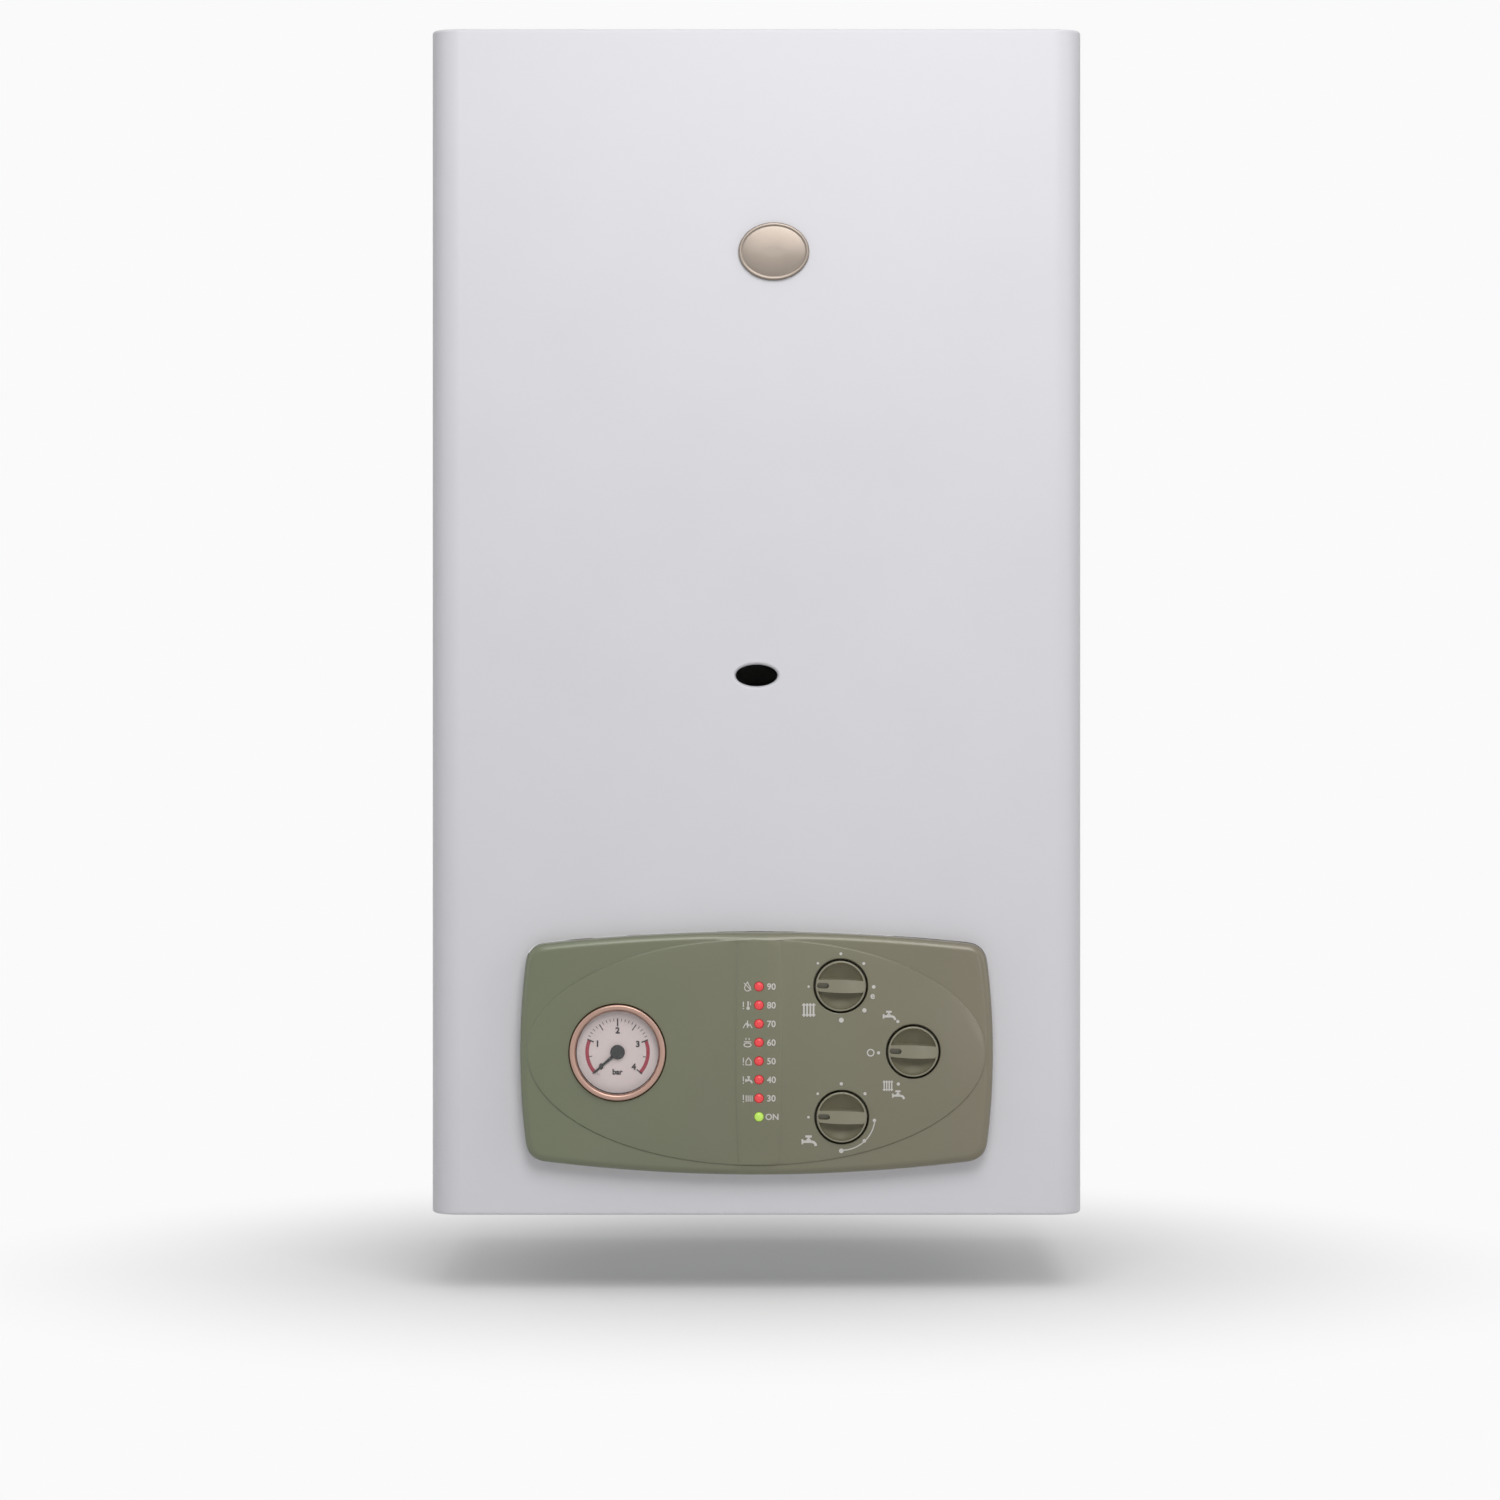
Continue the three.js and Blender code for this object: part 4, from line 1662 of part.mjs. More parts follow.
function makePanel() {
  return [
    piece('panel_fascia', makeFascia(), 'fascia'),
    piece('control_box', makeControlBox(), 'boxPlastic'),
    piece('circuit_board', makeBoard(), 'board'),
    piece('led_strip', makeLampStrip(), 'lampRed'),
    piece('led_power', makePowerLamp(), 'lampGreen'),
    ...makeGauge(),
    ...makeKnobs(),
  ];
}

const boiler = new THREE.Group();
const chassis = new THREE.Group();
chassis.position.z = -HANG_HEIGHT;
boiler.add(chassis);
chassis.add(
  ...makeCasing(),
  ...makePanel(),
  ...makeFrame(),
  ...makeChamber(),
  ...makeCombustion(),
  ...makeFan(),
  ...makeFlue(),
  makeVessel(),
  ...makeHydraulics(),
  ...makePipes(),
);

export default boiler;
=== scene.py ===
"""A wall-hung combi boiler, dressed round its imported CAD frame.

Lengths are millimetres, heights are counted from the casing's bottom edge, and every piece is
turned to metres in the row frame when its mesh is made.
"""

import json
import math

import bmesh
import bpy
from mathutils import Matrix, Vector
from mathutils.geometry import delaunay_2d_cdt
from mathutils.kdtree import KDTree


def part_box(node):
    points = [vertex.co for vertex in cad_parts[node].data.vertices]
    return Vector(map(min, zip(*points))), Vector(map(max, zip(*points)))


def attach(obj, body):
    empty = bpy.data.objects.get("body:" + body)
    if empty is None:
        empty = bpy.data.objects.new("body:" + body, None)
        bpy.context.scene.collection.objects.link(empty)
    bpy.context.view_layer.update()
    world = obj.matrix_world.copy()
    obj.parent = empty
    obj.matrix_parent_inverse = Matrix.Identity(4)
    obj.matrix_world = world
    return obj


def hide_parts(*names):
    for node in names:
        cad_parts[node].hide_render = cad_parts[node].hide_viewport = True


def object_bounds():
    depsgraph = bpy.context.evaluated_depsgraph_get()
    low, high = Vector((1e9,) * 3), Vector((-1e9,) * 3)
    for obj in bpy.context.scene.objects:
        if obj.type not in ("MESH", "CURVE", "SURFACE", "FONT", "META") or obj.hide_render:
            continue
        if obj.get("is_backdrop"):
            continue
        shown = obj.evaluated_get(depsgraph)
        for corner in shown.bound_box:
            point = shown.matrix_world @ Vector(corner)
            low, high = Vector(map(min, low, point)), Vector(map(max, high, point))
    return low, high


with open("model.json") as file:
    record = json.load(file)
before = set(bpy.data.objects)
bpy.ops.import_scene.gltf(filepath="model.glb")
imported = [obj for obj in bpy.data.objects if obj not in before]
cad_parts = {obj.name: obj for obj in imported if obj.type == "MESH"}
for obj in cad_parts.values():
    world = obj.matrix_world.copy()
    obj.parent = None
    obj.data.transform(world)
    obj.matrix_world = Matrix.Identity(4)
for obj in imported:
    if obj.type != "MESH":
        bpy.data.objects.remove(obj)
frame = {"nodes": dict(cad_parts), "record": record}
CAD_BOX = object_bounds()

bl_info = {
    "name": "Combi boiler",
    "version": (1, 0, 0),
    "blender": (4, 5, 0),
    "location": "3D View > Sidebar > Boiler",
    "description": "Dresses the CAD frame of a wall-hung combi boiler",
    "category": "Add Mesh",
}

# ---- sizes in millimetres

MM = 0.001
FORWARD = (0, -1, 0)
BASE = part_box("casing_shell")[0].z
WELD = 2e-6  # metres within which points are one
SMOOTH_ANGLE, DRESSED_ANGLE = 35, 40  # degrees up to which a made or a dressed surface is smooth
SHEET_GRID, PANEL_GRID, KNOB_GRID = 60, 4.2, 0.95  # how far apart a face's points are
GRID_ROW = 0.866  # the rows' distance in a grid of even triangles, as a share of the points'
GRID_CLEAR = 0.6  # how far its points stay from edges, as the same share

# casing
HALF_WIDTH = 225
HEIGHT = 820
FRONT = -345
SHEET = 1.2
REAR = -12
REAR_RETURN = 9
REAR_BEND = 2
TOP_FLANGE = 18
BOTTOM_FLANGE = 12
PEEPHOLE_Z = 373
PEEPHOLE_MOUTH = (16.8, 9.8)
PEEPHOLE_THROAT = (14.5, 7.5)
PEEPHOLE_DEPTH = 4
BADGE_X, BADGE_Z = 12, 666
BADGE_HALF = (24.5, 20)
BADGE_BACK = -345.3

# panel moulding
PANEL_FACE = -359
PANEL_SKIRT_END = -341
PANEL_SIDE_END = 157.5
PANEL_SIDE_BULGE = 5.5
PANEL_LOW, PANEL_LOW_BOW = 39.5, 10.5
PANEL_HIGH, PANEL_HIGH_BOW = 187, 9
PANEL_CORNER = 12
PANEL_GAP = 0.3
PANEL_WALL = 2
RIM_STEPS = 8
FIELD_Z = 113.8  # middle of the raised oval field
FIELD_HALF = (158.5, 78.4)
FIELD_RAISE = 1
BAND_X = 1.7
BAND_END, BAND_MIDDLE = 14.5, 16.6
BAND_RAISE = 0.8
STEP = 1.2  # how wide the slopes of the raised field and band are
EDGE_ROUND = 0.7
HINGE = (-352, 46)
HINGE_X = 142
BRACKET_HALF = 1.5
EAR_GAP, EAR_THICKNESS, EAR_RADIUS = 2.5, 3.5, 6
NOTCH_HALF = 2.5
BOSS_X, BOSS_HEIGHTS, BOSS_RADIUS, BOSS_END = 124, (58, 166), 4, -346

# knobs, lamps and gauge
WELL_RADIUS = 18.65
WELL_FLOOR = -348
KNOBS = {"heating": (57.9, 159.5), "mode": (107.8, 114.4), "hot_water": (58.6, 69.3)}
KNOB_RADIUS = 17.3
KNOB_FACE = -363.5
KNOB_LENGTH = 10.5
KNOB_BAR_END = 3.7
KNOB_ARCH = 1.6
KNOB_RIM = 16.1
KNOB_BRIM_ROUND = 0.6
BAR_EASE, RIM_EASE, SLOT_EASE = 0.6, 0.45, 0.35  # how wide the slopes beside them are
BOWL_EDGE, BOWL_POWER = 1.6, 0.8  # the bowl's depth at the rim and how fast it grows inward
KNOB_TURN = math.radians(-1.75)  # the photographed knobs lean a little clockwise
HUB_RADIUS, HUB_END = 5.5, -343
SHAFT_RADIUS, SHAFT_END = 3, -326.6
SLOT_U, SLOT_REACH, SLOT_RADIUS, SLOT_DEPTH = -12.2, 2.2, 1.9, 5
LAMP_X, LAMP_TOP_Z, LAMP_PITCH, LAMP_COUNT = 1.7, 159.2, 12.8, 7
LAMP_RADIUS, LAMP_TIP, LAMP_SHOULDER = 3, -364.4, -362.9
LAMP_GAP, LAMP_EDGE = 0.3, 0.3
STRIP_FRONT, STRIP_BACK, STRIP_HALF = -357.8, -355.3, 5
POWER_RADIUS = 4.5  # the green lamp's foot
GAUGE = (-95.7, 113.7)
GAUGE_RECESS, GAUGE_BORE, GAUGE_LEDGE = 33.5, 30.4, -354
GAUGE_STOP = (18.9, 227.3)  # the pin beside the needle's tip: radius and degrees
GAUGE_STOP_RADIUS = 1.1
DIAL_FACE = -357.4
NEEDLE_REST = math.radians(221)
DIAL_SWEEP = (221, 157, 90, 22, -42)  # degrees at 0, 1, 2, 3 and 4 bar

# inner works
VESSEL_RADIUS, VESSEL_MID, VESSEL_HALF, VESSEL_Z = 178, -63.8, 43.5, 540
FLUE_Y = -190

# ---- colours


def linear(hex_colour):
    values = [int(hex_colour[i : i + 2], 16) / 255 for i in (1, 3, 5)]
    return tuple(v / 12.92 if v <= 0.04045 else ((v + 0.055) / 1.055) ** 2.4 for v in values)


# Each finish: common name, colour, metallic, roughness, the texture node that draws its grain,
# the grain's pitch and depth in millimetres, and how far the colour drifts over a hand's breadth.
NOISE, CELLS = "ShaderNodeTexNoise", "ShaderNodeTexVoronoi"
FINISHES = {
    # powder-coated steel: a soft satin white with the faint orange peel of the baked powder
    "casing_paint": ("powder_coated_steel", "#E3E2E7", 0, 0.42, NOISE, 1.6, 0.012, 0.02),
    # pewter plating: a warm dull grey metal with fine rubbing lines
    "badge_pewter": ("pewter_plating", "#8B8178", 1, 0.38, NOISE, 0.35, 0.02, 0.10),
    # metallic-painted ABS: an olive satin skin with the fine sparkle of its flake
    "fascia_plastic": ("painted_abs_panel", "#70715E", 0.15, 0.42, CELLS, 0.45, 0.006, 0.05),
    # the same paint on the turned knobs, a little more beige
    "knob_plastic": ("painted_abs_knob", "#837F6A", 0.15, 0.38, CELLS, 0.45, 0.006, 0.05),
    # diffusing acrylic, red
    "lamp_red": ("red_acrylic", "#DD4145", 0, 0.25, NOISE, 1.0, 0.01, 0.04),
    # diffusing acrylic, green
    "lamp_green": ("green_acrylic", "#A9CF55", 0, 0.25, NOISE, 1.0, 0.01, 0.04),
    # copper-toned plating on the gauge ring: bright with a brushed haze
    "bezel_copper": ("copper_plating", "#B09184", 1, 0.34, NOISE, 0.4, 0.01, 0.06),
    # matt printed card under the gauge's lens
    "dial_print": ("matt_printed_card", "#E6D7D5", 0, 0.6, NOISE, 0.3, 0.004, 0.03),
    # black moulded nylon
    "black_plastic": ("black_nylon", "#121214", 0, 0.6, NOISE, 0.8, 0.01, 0.08),
    # clear polycarbonate
    "gauge_glass": ("clear_polycarbonate", "#F4F8F8", 0, 0.06, NOISE, 8, 0.002, 0.0),
    # black flame-retardant polypropylene with a spark-eroded skin
    "box_plastic": ("black_polypropylene", "#37383A", 0, 0.6, CELLS, 0.9, 0.03, 0.06),
    # lacquered glass-epoxy board
    "board": ("glass_epoxy_board", "#2F6B3C", 0, 0.5, CELLS, 1.2, 0.01, 0.12),
    # hot-dip galvanised sheet: grey spangle in centimetre crystals
    "zinc_steel": ("galvanised_steel", "#AEB2B5", 0.9, 0.42, CELLS, 12, 0.01, 0.16),
    # aluminised steel: a dull silver with a fine mottle
    "aluminised_steel": ("aluminised_steel_sheet", "#A4A6A7", 0.9, 0.46, NOISE, 3, 0.01, 0.10),
    # ceramic fibre board: chalky and faintly hairy
    "ceramic_fibre": ("ceramic_fibre_board", "#E4DED0", 0, 0.95, NOISE, 1.2, 0.25, 0.08),
    # brushed stainless
    "stainless": ("brushed_stainless_steel", "#BCBEC0", 1, 0.32, NOISE, 0.5, 0.01, 0.06),
    # drawn copper, lightly tarnished
    "copper": ("drawn_copper", "#B4694A", 1, 0.34, NOISE, 9, 0.02, 0.18),
    # forged brass, tumbled
    "brass": ("tumbled_brass", "#B6964F", 1, 0.38, NOISE, 2, 0.02, 0.10),
    # die-cast aluminium: a grey grain left by the die
    "cast_aluminium": ("die_cast_aluminium", "#A3A5A5", 0.9, 0.5, NOISE, 0.9, 0.05, 0.08),
    # painted cast iron: dark and coarse as sand
    "cast_iron": ("painted_cast_iron", "#45484B", 0.2, 0.6, NOISE, 1.2, 0.12, 0.10),
    # red stoved enamel on the pressed vessel
    "vessel_red": ("red_stoved_enamel", "#A32A22", 0, 0.4, NOISE, 2.2, 0.02, 0.06),
    # glazed ceramic
    "ceramic": ("glazed_ceramic", "#F1EDE2", 0, 0.3, NOISE, 1.5, 0.01, 0.04),
    # moulded EPDM
    "rubber_black": ("moulded_epdm", "#202022", 0, 0.85, NOISE, 1.0, 0.05, 0.08),
    # moulded red and blue ABS of the service knobs
    "cap_red": ("red_abs", "#B32320", 0, 0.42, NOISE, 1.0, 0.01, 0.05),
    "cap_blue": ("blue_abs", "#24467F", 0, 0.42, NOISE, 1.0, 0.01, 0.05),
    # grey glass-filled nylon
    "grey_plastic": ("grey_filled_nylon", "#8A8D90", 0, 0.55, CELLS, 0.8, 0.02, 0.06),
}
# the clear lacquer on some of them: its weight and roughness
COATS = {"fascia_plastic": (0.6, 0.2), "knob_plastic": (0.6, 0.24), "vessel_red": (0.3, 0.1)}
GLOWS = {"lamp_red": 0.35, "lamp_green": 0.5}
LENS_ALPHA = 0.03
PATCH_SCALE = 11  # colour patches about 9 cm across
SHADE_RANGE = {1: 0.25, 2: 0.75}  # where most of a texture's values lie
ROUGHNESS_SPREAD = (0.9, 1.12)
# painted light on the panel's paint: its left is tinted greener and darker as painted shade, its right
# browner and lighter as if lit from the right
SHADED_GREEN_TINT, LIT_BROWN_TINT = (0.93, 1.06, 0.9), (1.2, 1.03, 1.0)
SIDE_LIGHT_HALF = 0.17  # metres from the panel's middle to the full painted shade on its left and painted light on its right
made_materials = {}
DIAL_BOLD = 0.045  # the dial's letters are heavier than the panel's
PRINT_LIGHT = "#D3D0CB"
PRINT_DARK = "#3A3236"
PRINT_RED = "#A83448"
BACKDROP = "#FAFAFA"
BODY_OF = {n: b for b, nodes in frame["record"]["behaviour"]["bodies"].items() for n in nodes}


def colour_property(name, description, slot):
    return bpy.props.FloatVectorProperty(
        name=name, description=description, subtype="COLOR", size=3, min=0, max=1,
        default=linear(FINISHES[slot][1]),
    )


def length_property(name, description, millimetres):
    return bpy.props.FloatProperty(
        name=name, description=description, unit="LENGTH", min=0, default=millimetres * MM
    )


class BoilerSizes(bpy.types.PropertyGroup):
    """Sizes that may be changed before the pieces are made."""

    casing_corner: length_property("Casing corner", "Radius of the casing's upright edges", 20)
    casing_fold: length_property("Casing fold", "Radius of the folds at its top and bottom", 2.2)
    panel_rim: length_property("Panel rim", "Radius of the moulding's rounded rim", 5)
    panel_crown: length_property("Panel crown", "How far the moulding's face swells", 3)
    knob_bar: length_property("Grip bar", "Width of a knob's grip bar at its middle", 9)
    knob_bowl: length_property("Knob bowl", "Depth of the bowl beside the grip bar", 8.6)
    print_thickness: length_property("Print", "Thickness of the printed marks", 0.12)


class BoilerColours(bpy.types.PropertyGroup):
    """Colours that may be changed before the pieces are made."""

    casing_paint: colour_property("Casing", "Powder coat of the casing", "casing_paint")
    fascia_plastic: colour_property("Panel", "Paint of the moulding", "fascia_plastic")
    knob_plastic: colour_property("Knobs", "Paint of the knobs", "knob_plastic")
    badge_pewter: colour_property("Badge", "Plating of the badge", "badge_pewter")
    bezel_copper: colour_property("Gauge ring", "Plating of the gauge ring", "bezel_copper")
    vessel_red: colour_property("Vessel", "Enamel of the expansion vessel", "vessel_red")


# ---- materials


def add(tree, kind, links=None, **settings):
    """Adds one node, with its settings, and links or values for its sockets."""
    node = tree.nodes.new(kind)
    for key, value in settings.items():
        setattr(node, key, value)
    for key, value in (links or {}).items():
        if isinstance(value, bpy.types.NodeSocket):
            tree.links.new(value, node.inputs[key])
        else:
            node.inputs[key].default_value = value
    return node


def empty_tree(owner):
    owner.use_nodes = True
    owner.node_tree.nodes.clear()
    return owner.node_tree


def colour_of(slot):
    colours = bpy.context.scene.boiler_colours
    return tuple(getattr(colours, slot)) if hasattr(colours, slot) else linear(FINISHES[slot][1])


def material_of(slot, colour=None, name=None):
    """The procedural material of a finish, made once."""
    common_name, _, metallic, roughness, kind, pitch, depth, drift = FINISHES[slot]
    name = name or common_name
    if name in made_materials:
        return made_materials[name]
    colour = colour or colour_of(slot)
    material = bpy.data.materials.new(name)
    made_materials[name] = material
    tree = empty_tree(material)
    place = add(tree, "ShaderNodeTexCoord").outputs["Object"]
    grain = add(tree, kind, {"Vector": place, "Scale": 1 / (pitch * MM)})
    patch = add(tree, NOISE, {"Vector": place, "Scale": PATCH_SCALE, "Detail": 4})
    if slot == "zinc_steel":
        height = shade = add(tree, "ShaderNodeSeparateColor", {0: grain.outputs["Color"]}).outputs[0]
    else:
        height = grain.outputs["Distance" if kind == CELLS else "Fac"]
        shade = patch.outputs["Fac"]
    tone = add(tree, "ShaderNodeMapRange", {0: shade, **SHADE_RANGE, 3: 1 - drift, 4: 1 + drift / 2})
    base = base_colour(tree, slot, place, colour)
    tinted = add(tree, "ShaderNodeVectorMath", {0: base, "Scale": tone.outputs[0]}, operation="SCALE")
    low, high = (min(roughness * share, 1) for share in ROUGHNESS_SPREAD)
    rough = add(tree, "ShaderNodeMapRange", {0: shade, **SHADE_RANGE, 3: low, 4: high})
    bump = add(tree, "ShaderNodeBump", {"Height": height, "Distance": depth * MM})
    surface = {
        "Base Color": tinted.outputs[0],
        "Metallic": metallic,
        "Roughness": rough.outputs[0],
        "Normal": bump.outputs[0],
    }
    if slot in GLOWS:
        surface.update({"Emission Color": (*colour, 1), "Emission Strength": GLOWS[slot]})
    if slot == "gauge_glass":
        surface["Alpha"] = LENS_ALPHA
    if slot in COATS:
        surface.update(zip(("Coat Weight", "Coat Roughness"), COATS[slot]))
    shader = add(tree, "ShaderNodeBsdfPrincipled", surface)
    add(tree, "ShaderNodeOutputMaterial", {"Surface": shader.outputs[0]})
    return material


def base_colour(tree, slot, place, colour):
    """The colour before its drift; on the panel's paint it carries painted light: painted shade makes the
    left greener and darker, painted light makes the right browner and lighter.
    """
    if slot != "fascia_plastic":
        return add(tree, "ShaderNodeCombineXYZ", dict(enumerate(colour))).outputs[0]
    across = add(tree, "ShaderNodeSeparateXYZ", {0: place}).outputs[0]
    share = add(tree, "ShaderNodeMapRange", {0: across, 1: -SIDE_LIGHT_HALF, 2: SIDE_LIGHT_HALF, 3: 0, 4: 1})
    painted_light_tints = [(*(v * factor for v, factor in zip(colour, tint)), 1) for tint in (SHADED_GREEN_TINT, LIT_BROWN_TINT)]
    links = {0: share.outputs[0], 6: painted_light_tints[0], 7: painted_light_tints[1]}
    return add(tree, "ShaderNodeMix", links, data_type="RGBA").outputs[2]


# ---- meshes


class Form:
    """The points and faces of one piece, in millimetres from the casing's bottom edge."""

    def __init__(self):
        self.points = []
        self.faces = []

    def add(self, points, faces):
        start = len(self.points)
        self.points += [tuple(point) for point in points]
        self.faces += [[start + i for i in face] for face in faces]

    def skin(self, rings, closed=False, ends=False, strip=False):
        """Joins rings of equal count one to the next; a strip's rings are open lines."""
        count = len(rings[0])
        faces = []
        for r in range(len(rings) if closed else len(rings) - 1):
            a, b = r * count, ((r + 1) % len(rings)) * count
            for i in range(count - 1 if strip else count):
                j = (i + 1) % count
                faces.append([a + i, a + j, b + j, b + i])
        if ends:
            last = (len(rings) - 1) * count
            faces.append(list(range(count))[::-1])
            faces.append([last + i for i in range(count)])
        self.add([point for ring in rings for point in ring], faces)

    def turn(self, profile, centre, axis="Y", steps=64, closed=False):
        """Turns a profile of (radius, place along the axis) about an axis through a centre."""
        turns = angles(steps)
        rings = [[on_axis(axis, centre, r, a, along) for a in turns] for r, along in profile]
        self.skin(rings, closed=closed, ends=not closed)

    def tube(self, route, radius, steps=20):
        """A round bar along a route of points."""
        points = [Vector(point) for point in route]
        side = None
        rings = []
        for i, point in enumerate(points):
            ahead = points[min(i + 1, len(points) - 1)] - points[max(i - 1, 0)]
            ahead.normalize()
            if side is None:
                side = ahead.orthogonal()
            side = (side - ahead * side.dot(ahead)).normalized()
            up = ahead.cross(side)
            rings.append([point + (side * math.cos(a) + up * math.sin(a)) * radius for a in angles(steps)])
        self.skin(rings, ends=True)

    def block(self, low, high):
        (x0, y0, z0), (x1, y1, z1) = low, high
        ring = [(x0, y0), (x1, y0), (x1, y1), (x0, y1)]
        self.skin(upright(ring, (z0, z1)), ends=True)


def angles(steps):
    return [2 * math.pi * i / steps for i in range(steps)]


def quarter(steps):
    """Sines and cosines round a quarter turn, from (0, 1) to (1, 0)."""
    turns = [math.pi / 2 * k / steps for k in range(steps + 1)]
    return [(math.sin(turn), math.cos(turn)) for turn in turns]


def turned(centre, angle):
    """Gives the function that turns (u, v) about a centre of the front view and adds its depth y."""
    cos, sin = math.cos(angle), math.sin(angle)
    return lambda u, y, v: (centre[0] + u * cos - v * sin, y, centre[1] + u * sin + v * cos)


def on_axis(axis, centre, radius, angle, along):
    u, v = centre[0] + radius * math.cos(angle), centre[1] + radius * math.sin(angle)
    return {"X": (along, u, v), "Y": (u, along, v), "Z": (u, v, along)}[axis]


def smooth(share):
    share = min(max(share, 0), 1)
    return share * share * (3 - 2 * share)


def inside(polygon, x, z):
    hit = False
    for (x0, z0), (x1, z1) in zip(polygon, polygon[1:] + polygon[:1]):
        if (z0 > z) != (z1 > z) and x < (x1 - x0) * (z - z0) / (z1 - z0) + x0:
            hit = not hit
    return hit


def relief(loops, lines, spacing, keep, height):
    """Triangulates what keep allows on a grid, with every loop and line as edges, at its height."""
    points, edges = [], []
    for path, is_loop in [(loop, True) for loop in loops] + [(line, False) for line in lines]:
        start, count = len(points), len(path)
        points += [Vector(point) for point in path]
        edges += [(start + i, start + i + 1) for i in range(count - 1)]
        if is_loop:
            edges.append((start + count - 1, start))
    tree = KDTree(len(points))
    for i, point in enumerate(points):
        tree.insert((point.x, point.y, 0), i)
    tree.balance()
    xs, zs = [p.x for p in points], [p.y for p in points]
    row, z = 0, min(zs)
    while z < max(zs):
        x = min(xs) + (spacing / 2 if row % 2 else 0)
        while x < max(xs):
            if keep(x, z) and tree.find((x, z, 0))[2] > GRID_CLEAR * spacing:
                points.append(Vector((x, z)))
            x += spacing
        z += spacing * GRID_ROW
        row += 1
    flat, _, faces, _, _, _ = delaunay_2d_cdt(points, edges, [], 0, 1e-5)
    kept = []
    for face in faces:
        x = sum(flat[i].x for i in face) / len(face)
        z = sum(flat[i].y for i in face) / len(face)
        if keep(x, z):
            kept.append(list(face))
    return [(p.x, height(p.x, p.y), p.y) for p in flat], kept


def add_object(name, data):
    made = bpy.data.objects.new(name, data)
    bpy.context.scene.collection.objects.link(made)
    return made


def finish_piece(piece, smooth_angle, slot, body, nodes):
    """Applies the modifiers, evens the shading, ties the piece to its body and hides the CAD nodes that it
    stands for.
    """
    if piece.modifiers:
        evaluated = piece.evaluated_get(bpy.context.evaluated_depsgraph_get())
        mesh = bpy.data.meshes.new_from_object(evaluated)
        piece.modifiers.clear()
        piece.data = mesh
    piece.data.shade_smooth()
    piece.data.set_sharp_from_angle(angle=math.radians(smooth_angle))
    piece.modifiers.new("even shading", "WEIGHTED_NORMAL").keep_sharp = True
    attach(piece, body)
    if nodes:
        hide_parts(*nodes)


def make_piece(name, form, slot, body, nodes=(), wall=None, facing=None, material=None, even=True):
    """Makes a piece from a form: slot names its finish, nodes the CAD nodes that it stands for.

    An open sheet gets a wall behind its face, and facing is the way that its first face looks.
    """
    mesh = bpy.data.meshes.new(name)
    mesh.from_pydata([(x * MM, y * MM, BASE + z * MM) for x, y, z in form.points], [], form.faces)
    tidy_mesh(mesh, facing)
    mesh.materials.append(material or material_of(slot))
    piece = add_object(name, mesh)
    if wall:
        shell = piece.modifiers.new("wall", "SOLIDIFY")
        shell.thickness = wall * MM
        shell.offset = -1
        shell.use_even_offset = even
    finish_piece(piece, SMOOTH_ANGLE, slot, body, nodes)


def tidy_mesh(mesh, facing=None):
    """Welds the mesh and turns its faces outward, or an open sheet's first face along facing."""
    bm = bmesh.new()
    bm.from_mesh(mesh)
    bmesh.ops.remove_doubles(bm, verts=bm.verts, dist=WELD)
    bmesh.ops.dissolve_degenerate(bm, edges=bm.edges, dist=1e-7)
    bmesh.ops.recalc_face_normals(bm, faces=bm.faces)
    bm.faces.ensure_lookup_table()
    if facing and bm.faces[0].normal.dot(Vector(facing)) < 0:
        bmesh.ops.reverse_faces(bm, faces=bm.faces)
    bm.to_mesh(mesh)
    bm.free()


def dress(node, slot, bevel):
    """Stands for a CAD node with its own shape, its corners eased and its faces made whole."""
    name = "dressed_" + node
    mesh = frame["nodes"][node].data.copy()
    mesh.name = name
    bm = bmesh.new()
    bm.from_mesh(mesh)
    bmesh.ops.remove_doubles(bm, verts=bm.verts, dist=WELD)
    flat = math.radians(1)
    bmesh.ops.dissolve_limit(bm, angle_limit=flat, verts=bm.verts, edges=bm.edges, delimit={"NORMAL"})
    bm.to_mesh(mesh)
    bm.free()
    mesh.materials.clear()
    mesh.materials.append(material_of(slot))
    piece = add_object(name, mesh)
    edge = piece.modifiers.new("edge", "BEVEL")
    edge.width = bevel * MM
    edge.segments = 2
    edge.limit_method = "ANGLE"
    edge.angle_limit = math.radians(DRESSED_ANGLE)
    finish_piece(piece, DRESSED_ANGLE, slot, BODY_OF[node], [node])


# ---- casing


def rounded(corners, steps=10):
    """A line through (u, v, radius) corners, each turned with its own radius."""
    points = []
    for i, (u, v, radius) in enumerate(corners):
        here = Vector((u, v))
        if not radius or i in (0, len(corners) - 1):
            points.append(here)
            continue
        before = (Vector(corners[i - 1][:2]) - here).normalized()
        after = (Vector(corners[i + 1][:2]) - here).normalized()
        half = before.angle(after) / 2
        centre = here + (before + after).normalized() * radius / math.sin(half)
        start = here + before * radius / math.tan(half) - centre
        end = here + after * radius / math.tan(half) - centre
        for k in range(steps + 1):
            points.append(centre + start.slerp(end, k / steps) * radius)
    return [tuple(point) for point in points]


def casing_line(inset, corner, rear):
    """The casing's front and sides seen from above, from the left rear to the right rear."""
    half, front = HALF_WIDTH - inset, FRONT + inset
    radius = max(corner - inset, 1)
    return rounded([(-half, rear, 0), (-half, front, radius), (half, front, radius), (half, rear, 0)])


def ellipse(centre, half, steps=64):
    return [(centre[0] + half[0] * math.cos(a), centre[1] + half[1] * math.sin(a)) for a in angles(steps)]


def circle(centre, radius, steps=96):
    return ellipse(centre, (radius, radius), steps)


def at_depth(y, line):
    return [(x, y, z) for x, z in line]


def upright(line, levels):
    return [[(x, y, z) for x, y in line] for z in levels]


